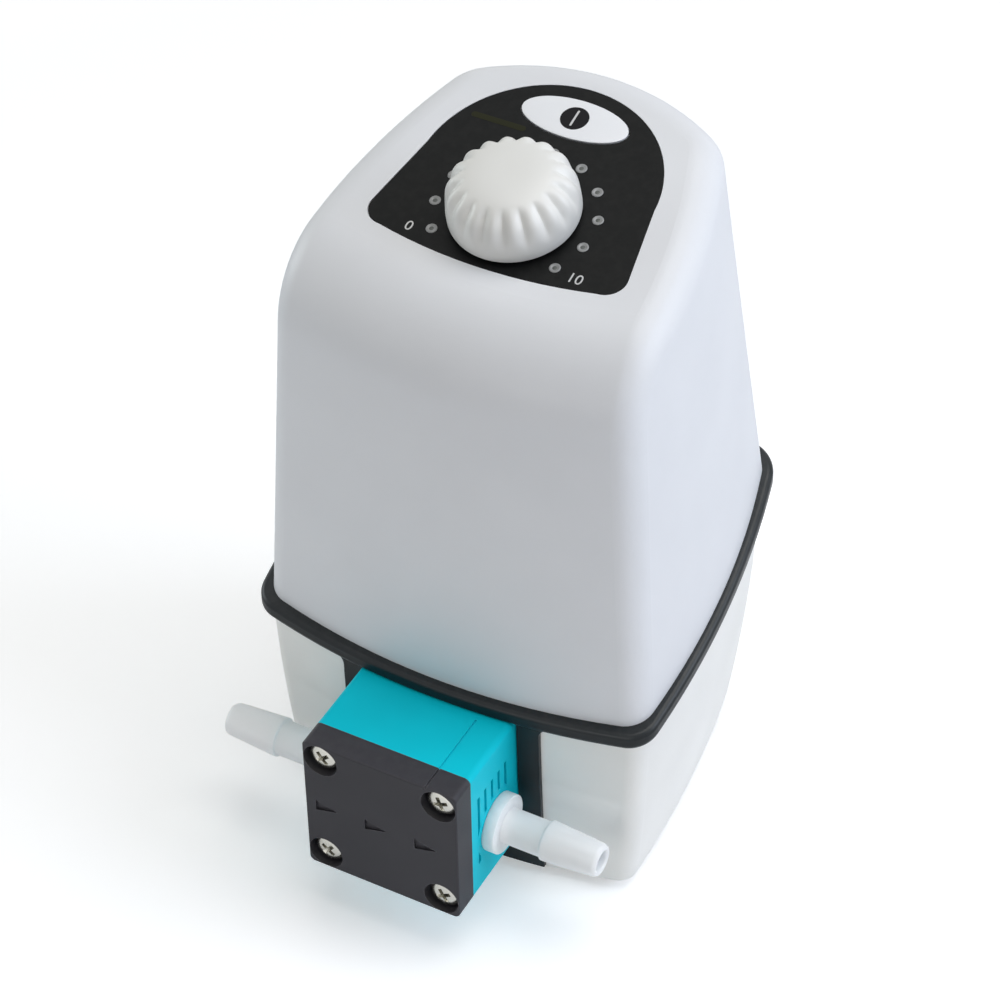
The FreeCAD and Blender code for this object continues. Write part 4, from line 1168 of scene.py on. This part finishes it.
def photo_camera(stage):
    """The camera of the photograph: its place, direction, roll and lens."""
    scene = bpy.context.scene
    data = bpy.data.cameras.new("photo_camera")
    data.lens = stage.lens
    data.sensor_width = 36.0
    data.clip_start = 0.01
    data.clip_end = 20.0
    camera = bpy.data.objects.new("photo_camera", data)
    azimuth = stage.azimuth
    elevation = stage.elevation
    back = Vector((sin(azimuth) * cos(elevation), -cos(azimuth) * cos(elevation), sin(elevation)))
    level = Vector((0, 0, 1)).cross(back).normalized()
    upward = back.cross(level)
    right = level * cos(stage.roll) + upward * sin(stage.roll)
    up = -level * sin(stage.roll) + upward * cos(stage.roll)
    matrix = Matrix((right, up, back)).transposed().to_4x4()
    matrix.translation = Vector(stage.camera_place)
    camera.matrix_world = matrix
    scene.collection.objects.link(camera)
    scene.camera = camera


class PUMP_OT_stage(bpy.types.Operator):
    """Set up the floor, the lamps and the camera."""

    bl_idname = "pump.stage"
    bl_label = "Stage"

    def execute(self, context):
        stage = settings("stage")
        middle = (0, 0, 0.09)
        floor_before_head = (0.05, -0.45, 0)
        studio_floor(stage)
        studio_room(stage)
        studio_lamp("top_lamp", (0.25, 0.19, 1.35), middle, 1.0, 10.2, (1.0, 0.99, 0.96))
        studio_lamp("right_lamp", (1.05, 0.3, 0.7), middle, 0.8, 8.2, (0.78, 0.86, 1.0))
        studio_lamp("left_lamp", (-1.2, -0.1, 0.4), middle, 0.7, 4.7, (0.88, 0.97, 1.0))
        studio_lamp("low_lamp", (0.05, -0.5, 0.18), floor_before_head, 0.3, 0.65)
        photo_camera(stage)
        context.scene.view_settings.view_transform = "Standard"
        return {"FINISHED"}


class PUMP_PT_sidebar(bpy.types.Panel):
    """Lists the pump's pieces and their sizes in the 3D view's sidebar."""

    bl_idname = "PUMP_PT_sidebar"
    bl_label = "Diaphragm liquid pump"
    bl_space_type = "VIEW_3D"
    bl_region_type = "UI"
    bl_category = "Pump"

    def draw(self, context):
        layout = self.layout
        for operator in operators:
            layout.operator(operator.bl_idname)
        for name in groups:
            box = layout.box()
            group = settings(name)
            for key in group.bl_rna.properties.keys():
                if key not in ("rna_type", "name"):
                    box.prop(group, key)


operators = (PUMP_OT_housing, PUMP_OT_panel, PUMP_OT_power_key, PUMP_OT_speed_knob, PUMP_OT_head,
             PUMP_OT_connectors, PUMP_OT_inlet, PUMP_OT_electronics, PUMP_OT_drive, PUMP_OT_stage)
groups = {"colours": PumpColours, "knob": KnobSizes, "key": KeySizes, "marks": MarkSizes,
          "connectors": ConnectorSizes, "screws": ScrewSizes, "stage": StageSettings}


def register():
    for kind in (*groups.values(), *operators, PUMP_PT_sidebar):
        bpy.utils.register_class(kind)
    for name, kind in groups.items():
        setattr(bpy.types.Scene, "pump_" + name, PointerProperty(type=kind))


def unregister():
    for name in groups:
        delattr(bpy.types.Scene, "pump_" + name)
    for kind in (PUMP_PT_sidebar, *operators, *groups.values()):
        bpy.utils.unregister_class(kind)


def main():
    register()
    bpy.ops.pump.housing()
    bpy.ops.pump.panel()
    bpy.ops.pump.power_key()
    bpy.ops.pump.speed_knob()
    bpy.ops.pump.head()
    bpy.ops.pump.connectors()
    bpy.ops.pump.inlet()
    bpy.ops.pump.electronics()
    bpy.ops.pump.drive()
    bpy.ops.pump.stage()


if __name__ == "__main__":
    main()
